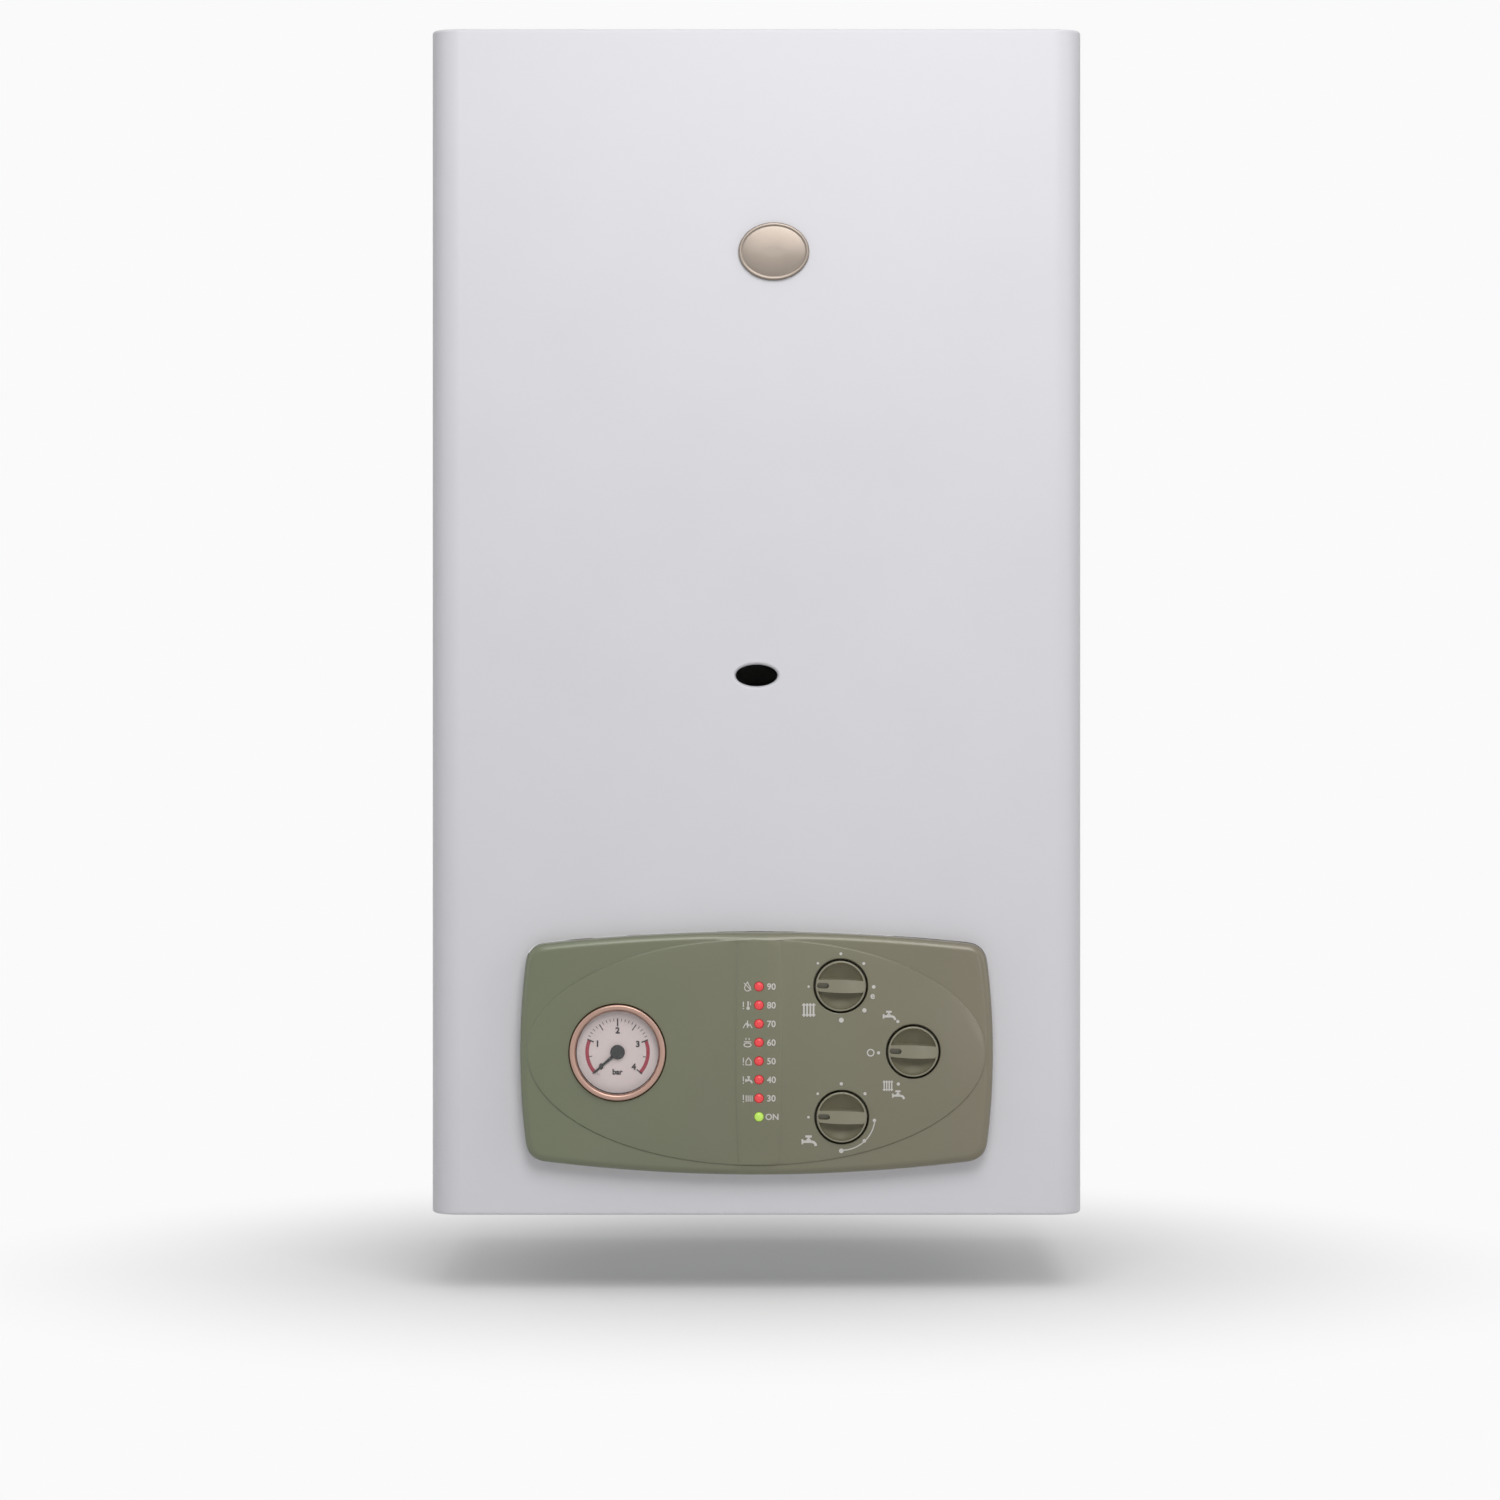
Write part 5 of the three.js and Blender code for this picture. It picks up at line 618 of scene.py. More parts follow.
def make_casing(sizes):
    corner, fold = sizes.casing_corner / MM, sizes.casing_fold / MM
    form = Form()
    cutout = panel_outline(-PANEL_GAP)
    mouth = ellipse((0, PEEPHOLE_Z), PEEPHOLE_MOUTH)
    edge = HALF_WIDTH - corner
    face = [(-edge, fold), (edge, fold), (edge, HEIGHT - fold), (-edge, HEIGHT - fold)]

    def on_sheet(x, z):
        return inside(face, x, z) and not inside(cutout, x, z) and not inside(mouth, x, z)

    form.add(*relief([face, cutout, mouth], [], SHEET_GRID, on_sheet, lambda x, z: FRONT))
    # the upright bends and sides, without the flat front between them
    rear = REAR - REAR_BEND
    line = casing_line(0, corner, rear)
    middle = len(line) // 2
    levels = (fold, HEIGHT - fold)
    for part in (line[:middle], line[middle:]):
        form.skin(upright(part, levels), strip=True)
    for side in (-1, 1):
        bend = rounded([
            (side * HALF_WIDTH, rear, 0),
            (side * HALF_WIDTH, REAR, REAR_BEND - 0.01),
            (side * (HALF_WIDTH - REAR_RETURN), REAR, 0),
        ])
        form.skin(upright(bend, levels), strip=True)
    # the folds and the flanges
    for edge_z, way, flange in ((HEIGHT, 1, TOP_FLANGE), (0, -1, BOTTOM_FLANGE)):
        rings = []
        for sin, cos in quarter(6):
            folded = casing_line(fold * (1 - cos), corner, rear)
            rings += upright(folded, [edge_z - way * fold * (1 - sin)])
        rings += upright(casing_line(flange, corner, rear), [edge_z])
        form.skin(rings, strip=True)
    # the peephole's drawn lip
    rings = []
    for sin, cos in quarter(6):
        half = [m + (t - m) * sin for m, t in zip(PEEPHOLE_MOUTH, PEEPHOLE_THROAT)]
        rings.append(at_depth(FRONT + PEEPHOLE_DEPTH * (1 - cos), ellipse((0, PEEPHOLE_Z), half)))
    form.skin(rings)
    make_piece("casing_sheet", form, "casing_paint", "casing", ["casing_shell"], SHEET, FORWARD)


def make_badge():
    """The plain oval: a rounded rim, a groove inside it and a low dome, as (inset, height) steps."""
    form = Form()
    profile = [(0, 0), (0, 1.6), (0.25, 2.05), (0.8, 2.4), (1.7, 2.4), (2.2, 2.15), (2.7, 1.9)]
    profile += [(4, 2.1), (7, 2.4), (11, 2.65), (15, 2.8), (18, 2.85)]
    rings = []
    for inset, rise in profile:
        half = [h - inset for h in BADGE_HALF]
        rings.append(at_depth(BADGE_BACK - rise, ellipse((BADGE_X, BADGE_Z), half, 96)))
    form.skin(rings, ends=True)
    make_piece("badge_oval", form, "badge_pewter", "casing", ["casing_badge"])


# ---- panel moulding


def panel_outline(inset=0):
    """The moulding's outline seen from the front: four bowed sides and four soft corners."""
    end = PANEL_SIDE_END - inset
    low, high = PANEL_LOW + inset, PANEL_HIGH - inset
    corners = [Vector(c) for c in ((-end, low), (end, low), (end, high), (-end, high))]
    bows = [(0, -PANEL_LOW_BOW), (PANEL_SIDE_BULGE, 0), (0, PANEL_HIGH_BOW), (-PANEL_SIDE_BULGE, 0)]
    radius = max(PANEL_CORNER - inset, 1)

    def on_side(side, t):
        start, stop = corners[side], corners[(side + 1) % 4]
        return start.lerp(stop, t) + Vector(bows[side]) * 4 * t * (1 - t)

    def margin(side):
        return radius / (corners[(side + 1) % 4] - corners[side]).length

    points = []
    for side in range(4):
        m = margin(side)
        points += [on_side(side, m + (1 - 2 * m) * s) for s in side_shares(side)]
        after = (side + 1) % 4
        start, stop = points[-1], on_side(after, margin(after))
        for k in range(1, 8):
            t = k / 8
            points.append(start * (1 - t) ** 2 + corners[after] * 2 * t * (1 - t) + stop * t * t)
    return [tuple(point) for point in points]


def side_shares(side):
    """Where the outline has points along a side; the lower side also has its notches' edges."""
    shares = [k / 40 for k in range(41)] if side % 2 == 0 else [k / 20 for k in range(21)]
    if side == 0:
        shares = [s for s in shares if 0.05 < s < 0.95 or s in (0, 1)]
        shares = sorted(shares + [s for pair in notch_shares() for s in pair])
    return shares


def notch_shares():
    """The shares of the lower side between which the bracket's arms pass."""
    width = 2 * PANEL_SIDE_END
    margin = PANEL_CORNER / width
    return [
        [((side * HINGE_X + way * NOTCH_HALF + PANEL_SIDE_END) / width - margin) / (1 - 2 * margin)
         for way in (-1, 1)]
        for side in (-1, 1)
    ]


def band_half(z):
    """Half the width of the lamps' raised band."""
    share = (z - FIELD_Z) / FIELD_HALF[1]
    return BAND_END + (BAND_MIDDLE - BAND_END) * max(1 - share * share, 0)


def field_reach(x, z):
    """How far a point lies from the oval field's middle, as a share of the way to its edge."""
    return math.hypot(x / FIELD_HALF[0], (z - FIELD_Z) / FIELD_HALF[1])


def panel_y(x, z, crown):
    """The moulding's front: a crowned face, a raised oval field and a raised band down it."""
    reach = field_reach(x, z)
    swell = crown * max(1 - reach * reach, 0)
    at_middle = reach < 1e-6
    depth_in = FIELD_HALF[1] if at_middle else math.hypot(x, z - FIELD_Z) * (1 / reach - 1)
    field = smooth(depth_in / STEP)
    band = smooth((band_half(z) - abs(x - BAND_X)) / STEP)
    return PANEL_FACE - swell - FIELD_RAISE * field - BAND_RAISE * field * band


def lamp_heights():
    return [LAMP_TOP_Z - i * LAMP_PITCH for i in range(LAMP_COUNT + 1)]


def make_fascia(sizes):
    crown, rim = sizes.panel_crown / MM, sizes.panel_rim / MM
    form = Form()
    boundary = panel_outline(rim)
    wells = [(centre, WELL_RADIUS + EDGE_ROUND, 96) for centre in KNOBS.values()]
    recess = (GAUGE, GAUGE_RECESS + EDGE_ROUND, 96)
    lamps = [((LAMP_X, z), LAMP_RADIUS + LAMP_GAP + LAMP_EDGE, 24) for z in lamp_heights()]
    holes = wells + [recess] + lamps

    def skin_here(x, z):
        clear = all(math.hypot(x - hx, z - hz) > radius - 0.01 for (hx, hz), radius, _ in holes)
        return clear and inside(boundary, x, z)

    def surface(x, z):
        return panel_y(x, z, crown)

    loops = [boundary] + [circle(*hole) for hole in holes]
    lines = []
    for offset in (0, STEP / 3, STEP * 2 / 3, STEP):
        ring = ellipse((0, FIELD_Z), [h - offset for h in FIELD_HALF], 180)
        lines += runs(ring + ring[:1], lambda x, z: inside(boundary, x, z))
        for side in (-1, 1):
            heights = [FIELD_Z + FIELD_HALF[1] * k / 24 for k in range(-24, 25)]
            path = [(BAND_X + side * (band_half(z) - offset), z) for z in heights]
            lines += runs(path, lambda x, z: field_reach(x, z) < 0.998)
    form.add(*relief(loops, lines, PANEL_GRID, skin_here, surface))

    # the rounded rim and the skirt
    rings = []
    for k, (sin, cos) in enumerate(quarter(RIM_STEPS)):
        ring = []
        for (x, z), (bx, bz) in zip(panel_outline(rim * (1 - sin)), boundary):
            lift = (surface(bx, bz) - PANEL_FACE) * (1 - k / RIM_STEPS)
            ring.append((x, PANEL_FACE + rim * (1 - cos) + lift, z))
        rings.append(ring)
    form.skin(rings)
    add_skirt(form, rings[-1])
    for hole in lamps:
        add_pocket(form, hole, LAMP_EDGE, surface, None, PANEL_WALL)
    for hole in wells:
        add_pocket(form, hole, EDGE_ROUND, surface, WELL_FLOOR, HUB_RADIUS + 0.6)
    add_pocket(form, recess, EDGE_ROUND, surface, GAUGE_LEDGE, GAUGE_BORE)
    make_piece("fascia_moulding", form, "fascia_plastic", "control_panel", ["panel_fascia"],
               PANEL_WALL, FORWARD, even=False)
    make_fascia_back()


def runs(path, keep):
    """The unbroken stretches of a path that keep allows."""
    stretches, current = [], []
    for point in path:
        if keep(*point):
            current.append(point)
        elif current:
            stretches.append(current)
            current = []
    return [s for s in stretches + [current] if len(s) > 1]


def add_skirt(form, ring):
    """The moulding's edge behind its rim, open where the hinge arms pass."""
    end = [(x, PANEL_SKIRT_END, z) for x, _, z in ring]
    count = len(ring)
    shares = side_shares(0)
    gaps = {shares.index(pair[0]) for pair in notch_shares()}
    pairs = [(i, (i + 1) % count) for i in range(count) if i not in gaps]
    form.add(ring + end, [[i, j, count + j, count + i] for i, j in pairs])


def add_pocket(form, hole, edge, surface, floor, bore):
    """A round recess with an eased edge and a bore in its floor, or a plain hole as deep as bore."""
    centre, radius, steps = hole
    levels = [surface(x, z) for x, z in circle(centre, radius, steps)]

    def ring_below(r, drop):
        return [(x, y + drop, z) for (x, z), y in zip(circle(centre, r, steps), levels)]

    rings = [ring_below(radius - edge * sin, edge * (1 - cos)) for sin, cos in quarter(4)]
    inner = radius - edge
    if floor is None:
        rings.append(ring_below(inner, bore))
    else:
        corner = ((inner, floor - 0.6), (inner - 0.2, floor - 0.2), (inner - 0.6, floor), (bore, floor))
        rings += [at_depth(y, circle(centre, r, steps)) for r, y in corner]
    form.skin(rings)


def make_fascia_back():
    """The hinge ears and screw bosses moulded on the back."""
    form = Form()
    inner = BRACKET_HALF + EAR_GAP
    for side in (-1, 1):
        for way in (-1, 1):
            x0 = side * HINGE_X + way * inner
            x1 = x0 + way * EAR_THICKNESS
            shape = [(PANEL_FACE + 3.2, HINGE[1] - EAR_RADIUS)]
            shape += [
                (HINGE[0] + EAR_RADIUS * math.sin(a), HINGE[1] - EAR_RADIUS * math.cos(a))
                for a in [math.pi * k / 12 for k in range(13)]
            ]
            shape.append((PANEL_FACE + 3.2, HINGE[1] + EAR_RADIUS))
            form.skin([[(x, y, z) for y, z in shape] for x in (x0, x1)], ends=True)
    boss = [(BOSS_RADIUS, PANEL_FACE + PANEL_WALL), (BOSS_RADIUS, BOSS_END)]
    for x in (-BOSS_X, BOSS_X):
        for z in BOSS_HEIGHTS:
            form.turn(boss, (x, z), steps=24)
    make_piece("fascia_ears", form, "fascia_plastic", "control_panel")


# ---- knobs and lamps


def bar_shape(u, bar):
    """The grip bar at u: half its width there, and its arch as a share of the middle's."""
    share = min(abs(u) / KNOB_RADIUS, 1)
    arch = 1 - share * share
    return KNOB_BAR_END + (bar / 2 - KNOB_BAR_END) * arch, arch


def knob_depth(u, v, bar, bowl):
    """How far a knob's face lies behind its front plane: rim, bowl, arched grip bar and slot."""
    radius = math.hypot(u, v)
    half, arch = bar_shape(u, bar)
    on_bar = 1 - smooth((abs(v) - half) / BAR_EASE)
    on_rim = smooth((radius - KNOB_RIM + RIM_EASE) / RIM_EASE)
    dish = BOWL_EDGE + (bowl - BOWL_EDGE) * max(1 - (radius / KNOB_RIM) ** 2, 0) ** BOWL_POWER
    depth = (1 - max(on_bar, on_rim)) * dish - KNOB_ARCH * arch * on_bar
    away = math.hypot(max(abs(u - SLOT_U) - SLOT_REACH, 0), v) - SLOT_RADIUS
    in_slot = smooth(-away / SLOT_EASE)
    return depth * (1 - in_slot) + SLOT_DEPTH * in_slot


def slot_loop(radius):
    right = []
    for k in range(13):
        a = math.pi * (k / 12 - 0.5)
        right.append((SLOT_U + SLOT_REACH + radius * math.cos(a), radius * math.sin(a)))
    return right + [(2 * SLOT_U - u, -v) for u, v in right]


def make_knob(name, centre, sizes):
    bar, bowl = sizes.knob_bar / MM, sizes.knob_bowl / MM
    brim = KNOB_RADIUS - KNOB_BRIM_ROUND
    rims = [brim] + [KNOB_RIM - inset for inset in (0, 0.15, 0.3, RIM_EASE)]
    loops = [circle((0, 0), r) for r in rims]
    loops += [slot_loop(SLOT_RADIUS - inset) for inset in (0, 0.12, 0.24, SLOT_EASE)]
    lines = []
    for side in (-1, 1):
        for offset in (0, 0.2, 0.4, BAR_EASE):
            stations = [brim * k / 30 for k in range(-30, 31)]
            path = [(u, side * (bar_shape(u, bar)[0] + offset)) for u in stations]
            lines += runs(path, lambda u, v: math.hypot(u, v) < KNOB_RIM - 0.5)

    def on_face(u, v):
        return math.hypot(u, v) < brim

    def face_y(u, v):
        return KNOB_FACE + knob_depth(u, v, bar, bowl)

    form = Form()
    face, triangles = relief(loops, lines, KNOB_GRID, on_face, face_y)
    lean = turned(centre, KNOB_TURN)
    form.add([lean(*point) for point in face], triangles)
    back = KNOB_FACE + KNOB_LENGTH
    side = []
    for a in (0, 0.4, 0.8, 1.2, math.pi / 2):
        side.append((brim + KNOB_BRIM_ROUND * math.sin(a), KNOB_FACE + KNOB_BRIM_ROUND * (1 - math.cos(a))))
    side += [(KNOB_RADIUS, back - 0.4), (KNOB_RADIUS - 0.4, back), (HUB_RADIUS, back)]
    side += [(HUB_RADIUS, HUB_END), (SHAFT_RADIUS, HUB_END), (SHAFT_RADIUS, SHAFT_END + 0.4)]
    side += [(SHAFT_RADIUS - 0.4, SHAFT_END), (0, SHAFT_END)]
    turns = [a + KNOB_TURN for a in angles(96)]
    form.skin([[on_axis("Y", centre, radius, a, y) for a in turns] for radius, y in side])
    make_piece(f"knob_cap_{name}", form, "knob_plastic", f"knob_{name}", [f"knob_{name}"])


def lamp_dome(form, z):
    profile = [(0, STRIP_BACK - 0.5), (LAMP_RADIUS, STRIP_BACK - 0.5), (LAMP_RADIUS, LAMP_SHOULDER)]
    rise = LAMP_SHOULDER - LAMP_TIP
    profile += [(LAMP_RADIUS * cos, LAMP_SHOULDER - rise * sin) for sin, cos in quarter(8)[1:]]
    form.turn(profile, (LAMP_X, z), steps=40)


def make_lamps():
    *heights, lowest = lamp_heights()
    strip = Form()
    low = (LAMP_X - STRIP_HALF, STRIP_FRONT, heights[-1] - STRIP_HALF)
    strip.block(low, (LAMP_X + STRIP_HALF, STRIP_BACK, heights[0] + STRIP_HALF))
    for z in heights:
        lamp_dome(strip, z)
    make_piece("lamps_red", strip, "lamp_red", "control_panel", ["led_strip"])
    power = Form()
    power.turn([(POWER_RADIUS, STRIP_FRONT), (POWER_RADIUS, STRIP_BACK)], (LAMP_X, lowest), steps=32)
    lamp_dome(power, lowest)
    make_piece("lamp_green", power, "lamp_green", "control_panel", ["led_power"])


# ---- gauge


def turn_gauge_part(name, slot, nodes, profile, steps=96, closed=False, centre=GAUGE):
    form = Form()
    form.turn(profile, centre, steps=steps, closed=closed)
    make_piece(name, form, slot, "control_panel", nodes)


def make_gauge():
    front, lip = -364.5, -362.2
    ring = [(30.3, -354.3), (33, -354.3)]
    ring += [(31.8 + 1.2 * cos, -363.3 - 1.2 * sin) for sin, cos in quarter(8)]
    inward = [1.2 * k / 6 for k in range(7)]
    ring += [(30.6 - 1.6 * math.sin(a), front + 1.6 * (1 - math.cos(a))) for a in inward]
    ring += [(28.5, lip - 0.4), (28.5, lip), (30.3, lip)]
    lens = [(0, -360.4), (29.5, -360.4), (29.7, -360.6), (29.7, -361.7), (29.5, -361.9), (0, -361.9)]
    card = [(1.5, -356.4), (28.2, -356.4), (28.2, DIAL_FACE), (1.5, DIAL_FACE)]
    radius = GAUGE_STOP_RADIUS
    pin = [(0, DIAL_FACE + 0.2), (radius, DIAL_FACE + 0.2), (radius, DIAL_FACE - 1.2)]
    pin += [(0.8, DIAL_FACE - 1.6), (0, DIAL_FACE - 1.8)]
    turn_gauge_part("gauge_ring", "bezel_copper", ["gauge_bezel"], ring, 128, closed=True)
    turn_gauge_part("gauge_window", "gauge_glass", ["gauge_lens"], lens)
    turn_gauge_part("gauge_card", "dial_print", ["gauge_dial"], card, closed=True)
    turn_gauge_part("gauge_stop", "dial_print", [], pin, 24, centre=on_dial(*GAUGE_STOP))
    dress("gauge_case", "black_plastic", 0.3)
    make_needle()


def on_dial(radius, degrees):
    angle = math.radians(degrees)
    return GAUGE[0] + radius * math.cos(angle), GAUGE[1] + radius * math.sin(angle)


def make_needle():
    form = Form()
    shape = [(-3, 1.1), (4, 1.1), (12, 0.85), (20.8, 0.6), (21.8, 0.4)]
    loop = shape + [(u, -v) for u, v in reversed(shape)]
    point_at = turned(GAUGE, NEEDLE_REST)
    layers = ((-358.2, 1), (-358.8, 1), (-359.0, 0.7))
    form.skin([[point_at(u, y, v * share) for u, v in loop] for y, share in layers], ends=True)
    hub = [(0, -357.9), (5, -357.9), (5, -359.1), (4.6, -359.5), (4.1, -359.6), (0, -359.6)]
    form.turn(hub, GAUGE)
    form.turn([(0, -358.5), (1.2, -358.5), (1.2, -348.4), (0, -348.4)], GAUGE, steps=20)
    make_piece("needle", form, "black_plastic", "gauge_needle", ["gauge_needle"])


# ---- printing


def stroke(points, width, closed=False):
    """Quads along a line of points, mitred at its corners."""
    path = [Vector(p) for p in points]
    count = len(path)
    left, right = [], []
    for i, here in enumerate(path):
        before = path[i - 1] if i or closed else None
        after = path[(i + 1) % count] if i + 1 < count or closed else None
        ways = [(here - before).normalized()] if before is not None else []
        ways += [(after - here).normalized()] if after is not None else []
        way = sum(ways, Vector((0, 0))).normalized()
        across = Vector((-way.y, way.x)) * width / 2 / max(way.dot(ways[0]), 0.4)
        left.append(here + across)
        right.append(here - across)
    quads = []
    for i in range(count if closed else count - 1):
        j = (i + 1) % count
        quads.append([left[i], left[j], right[j], right[i]])
    return quads


def arc(centre, radius, start, stop, width, steps=24):
    points = []
    for k in range(steps + 1):
        angle = math.radians(start + (stop - start) * k / steps)
        points.append((centre[0] + radius * math.cos(angle), centre[1] + radius * math.sin(angle)))
    return stroke(points, width)


def disc(centre, radius, steps=20):
    return [[Vector(p) for p in circle(centre, radius, steps)]]


def icon(parts, centre, size):
    """Strokes and dots drawn on a ten by ten square, at a place and height on the panel."""
    shapes = []
    scale = size / 10

    def at(u, v):
        return centre[0] + (u - 5) * scale, centre[1] + (v - 5) * scale

    for kind, values, width in parts:
        if kind == "dot":
            shapes += disc(at(*values), width * scale)
        else:
            shapes += stroke([at(u, v) for u, v in values], width * scale, closed=kind == "loop")
    return shapes


def curve_points(points, steps=6):
    """A smooth line through points (Catmull-Rom)."""
    path = [Vector(p) for p in points]
    path = [path[0]] + path + [path[-1]]
    smooth_line = []
    for i in range(1, len(path) - 2):
        for k in range(steps):
            t = k / steps
            a, b, c, d = path[i - 1 : i + 3]
            square = 2 * b + (c - a) * t + (2 * a - 5 * b + 4 * c - d) * t**2
            smooth_line.append(0.5 * (square + (3 * b - a - 3 * c + d) * t**3))
    smooth_line.append(path[-2])
    return [tuple(p) for p in smooth_line]


TAP = [
    ("line", [(0.5, 2.6), (0.5, 6)], 1.2),
    ("line", [(0.5, 4.3), (6.4, 4.3)], 1.7),
    ("line", curve_points([(6.2, 4.3), (8, 3.9), (9.1, 2.7), (9.5, 1.5)]), 1.7),
    ("line", [(4.6, 4.8), (4.6, 7.6)], 1.4),
    ("line", [(3.2, 5.5), (6, 5.5)], 1.1),
    ("line", [(2.5, 7.8), (6.7, 7.8)], 1.5),
]
RADIATOR = [("line", [(u, 0), (u, 10)], 1.3) for u in (1.4, 3.8, 6.2, 8.6)]
RADIATOR += [("line", [(0, v), (10, v)], 0.9) for v in (1.3, 8.7)]
MARK = [("line", [(0.8, 3.4), (0.8, 8.6)], 1.1), ("dot", (0.8, 1.6), 0.7)]
THERMOMETER = MARK + [("line", [(5.6, 3), (5.6, 9)], 1.6), ("dot", (5.6, 2), 1.7)]
THERMOMETER += [("line", [(8, 5), (8, 8)], 0.7)]
FLAME_LINE = [(5, 9.6), (3, 6.6), (2, 3.8), (3.2, 1.2), (5.4, 0.6), (7.4, 1.8), (7.8, 4.2), (6.4, 6.4)]
FLAME = [("loop", curve_points(FLAME_LINE), 0.9), ("line", [(1.4, 8.6), (8.8, 1.2)], 0.8)]
FAN = [("dot", (5, 4.4), 1.3), ("line", [(5, 1), (5, 8.4)], 1.2), ("line", [(3, 5.8), (7, 3)], 1.2)]
FAN += [("line", [(0.6, 0.8), (2.8, 5)], 1), ("line", [(7.4, 5), (9.6, 0.8)], 1)]
PRESSURE = [
    ("loop", [(5 + 3.6 * math.cos(a), 2.6 + 2 * math.sin(a)) for a in angles(16)], 1),
    ("line", [(1.2, 5.8), (8.8, 5.8)], 0.9),
    ("line", [(3.4, 7.4), (3.4, 9.8)], 0.9),
    ("line", [(6.6, 7.4), (6.6, 9.8)], 0.9),
]
HOUSE = MARK + [("loop", [(3.4, 1.2), (8.6, 1.2), (8.6, 5), (6, 8.4), (3.4, 5)], 0.9)]
TAP_FAULT = MARK + [(kind, [(3 + u * 0.68, v) for u, v in values], width)
                    for kind, values, width in TAP if kind == "line"]
RADIATOR_FAULT = MARK + [("line", [(u, 1.6), (u, 8)], 1) for u in (3.6, 5.6, 7.6, 9.6)]
FAULTS = [FLAME, THERMOMETER, FAN, PRESSURE, HOUSE, TAP_FAULT, RADIATOR_FAULT]


def letters(text, height, centre, bold=0.022):
    """The faces of a plain text, as tall as height, round a centre."""
    curve = bpy.data.curves.new("letters", "FONT")
    curve.body = text
    curve.align_x = "CENTER"
    curve.resolution_u = 4
    curve.offset = bold
    source = add_object("letters", curve)
    mesh = source.evaluated_get(bpy.context.evaluated_depsgraph_get()).to_mesh()
    ys = [v.co.y for v in mesh.vertices]
    xs = [v.co.x for v in mesh.vertices]
    scale = height / (max(ys) - min(ys))
    middle = ((max(xs) + min(xs)) / 2, (max(ys) + min(ys)) / 2)
    flat = [
        [c + (place - m) * scale for c, place, m in zip(centre, v.co, middle)] for v in mesh.vertices
    ]
    faces = [[Vector(flat[i]) for i in face.vertices] for face in mesh.polygons]
    bpy.data.objects.remove(source)
    bpy.data.curves.remove(curve)
    return faces


def print_on(name, shapes, level, ink, hex_colour):
    """Prints flat shapes on a surface that lies at level(x, z)."""
    form = Form()
    lift = bpy.context.scene.boiler_sizes.print_thickness / MM
    for shape in shapes:
        form.add([(p.x, level(p.x, p.y) - lift, p.y) for p in shape], [list(range(len(shape)))])
    material = material_of("dial_print", linear(hex_colour), ink)
    make_piece(name, form, "dial_print", "control_panel", (), lift * 0.9, FORWARD, material, even=False)


# the marks round each knob: place from its centre and radius
KNOB_DOTS = {
    "heating": [
        (-22.1, -0.4, 0.8), (-15.7, 15.6, 0.85), (0.1, 22.1, 1), (15.9, 15.4, 1.05),
        (22.7, -0.6, 1.25), (16.3, -16.7, 1.5), (0.4, -23.4, 1.7),
    ],
    "mode": [(-23.9, -0.8, 1.15), (-10.6, 20.7, 1.15), (-10.3, -22.3, 1.15)],
    "hot_water": [
        (-22.9, 0, 0.9), (-16.5, 16.2, 0.95), (-0.3, 23, 1.15), (16, 16.2, 1.1),
        (22.5, -2.3, 1.2), (15.6, -16.4, 1.3), (-0.3, -23.3, 1.6),
    ],
}


def make_panel_print(sizes):
    crown = sizes.panel_crown / MM
    shapes = []
    for number, z in zip((90, 80, 70, 60, 50, 40, 30), lamp_heights()):
        shapes += letters(str(number), 4.6, (10.2, z))
    shapes += letters("ON", 4.4, (10.6, lamp_heights()[-1]))
    for parts, z in zip(FAULTS, lamp_heights()):
        shapes += icon(parts, (-6.2, z), 6.8)
    for name, dots in KNOB_DOTS.items():
        for x, z, radius in dots:
            shapes += disc((KNOBS[name][0] + x, KNOBS[name][1] + z), radius)
    x, z = KNOBS["heating"]
    shapes += icon(RADIATOR, (x - 22, z - 16.4), 9.2) + letters("e", 3.4, (x + 22, z - 7.2))
    x, z = KNOBS["hot_water"]
    shapes += icon(TAP, (x - 22.4, z - 16.2), 10.4) + arc((x, z), 22.9, -6, -91, 0.8)
    x, z = KNOBS["mode"]
    shapes += arc((x - 29.3, z - 0.7), 2.25, 0, 360, 0.85) + icon(TAP, (x - 16.4, z + 24.9), 9)
    shapes += icon(RADIATOR, (x - 17.4, z - 23.5), 7.2) + icon(TAP, (x - 10.2, z - 29.7), 8.6)
    print_on("print_panel", shapes, lambda x, z: panel_y(x, z, crown), "pale_ink", PRINT_LIGHT)


def dial_degrees(bar):
    low = min(int(bar), 3)
    return DIAL_SWEEP[low] + (DIAL_SWEEP[low + 1] - DIAL_SWEEP[low]) * (bar - low)


def dial_tick(bar, inner, outer, width):
    degrees = dial_degrees(bar)
    return stroke([on_dial(inner, degrees), on_dial(outer, degrees)], width)


def make_gauge_print():
    dark, red = [], []
    for bar in range(5):
        dark += dial_tick(bar, 17.8, 22.6 if bar != 2 else 23.2, 1)
        dark += letters(str(bar), 4.5, on_dial(15, dial_degrees(bar)), DIAL_BOLD)
    for bar in (1.5, 2.5):
        dark += dial_tick(bar, 18, 22.9, 0.75)
    for k in range(11, 30):
        if k % 5:
            dark += dial_tick(k / 10, 21.2, 23.2, 0.42)
    dark += letters("bar", 4, (GAUGE[0], GAUGE[1] - 13.6), DIAL_BOLD)
    for low in (0, 3):
        red += arc(GAUGE, 21, dial_degrees(low) - 1, dial_degrees(low + 1) + 1, 2.5, 30)
        dark += dial_tick(low + 0.5, 17.8, 19.8, 0.6)
    print_on("print_dial", dark, lambda x, z: DIAL_FACE, "dark_ink", PRINT_DARK)
    print_on("print_red", red, lambda x, z: DIAL_FACE, "red_ink", PRINT_RED)


# ---- inner works

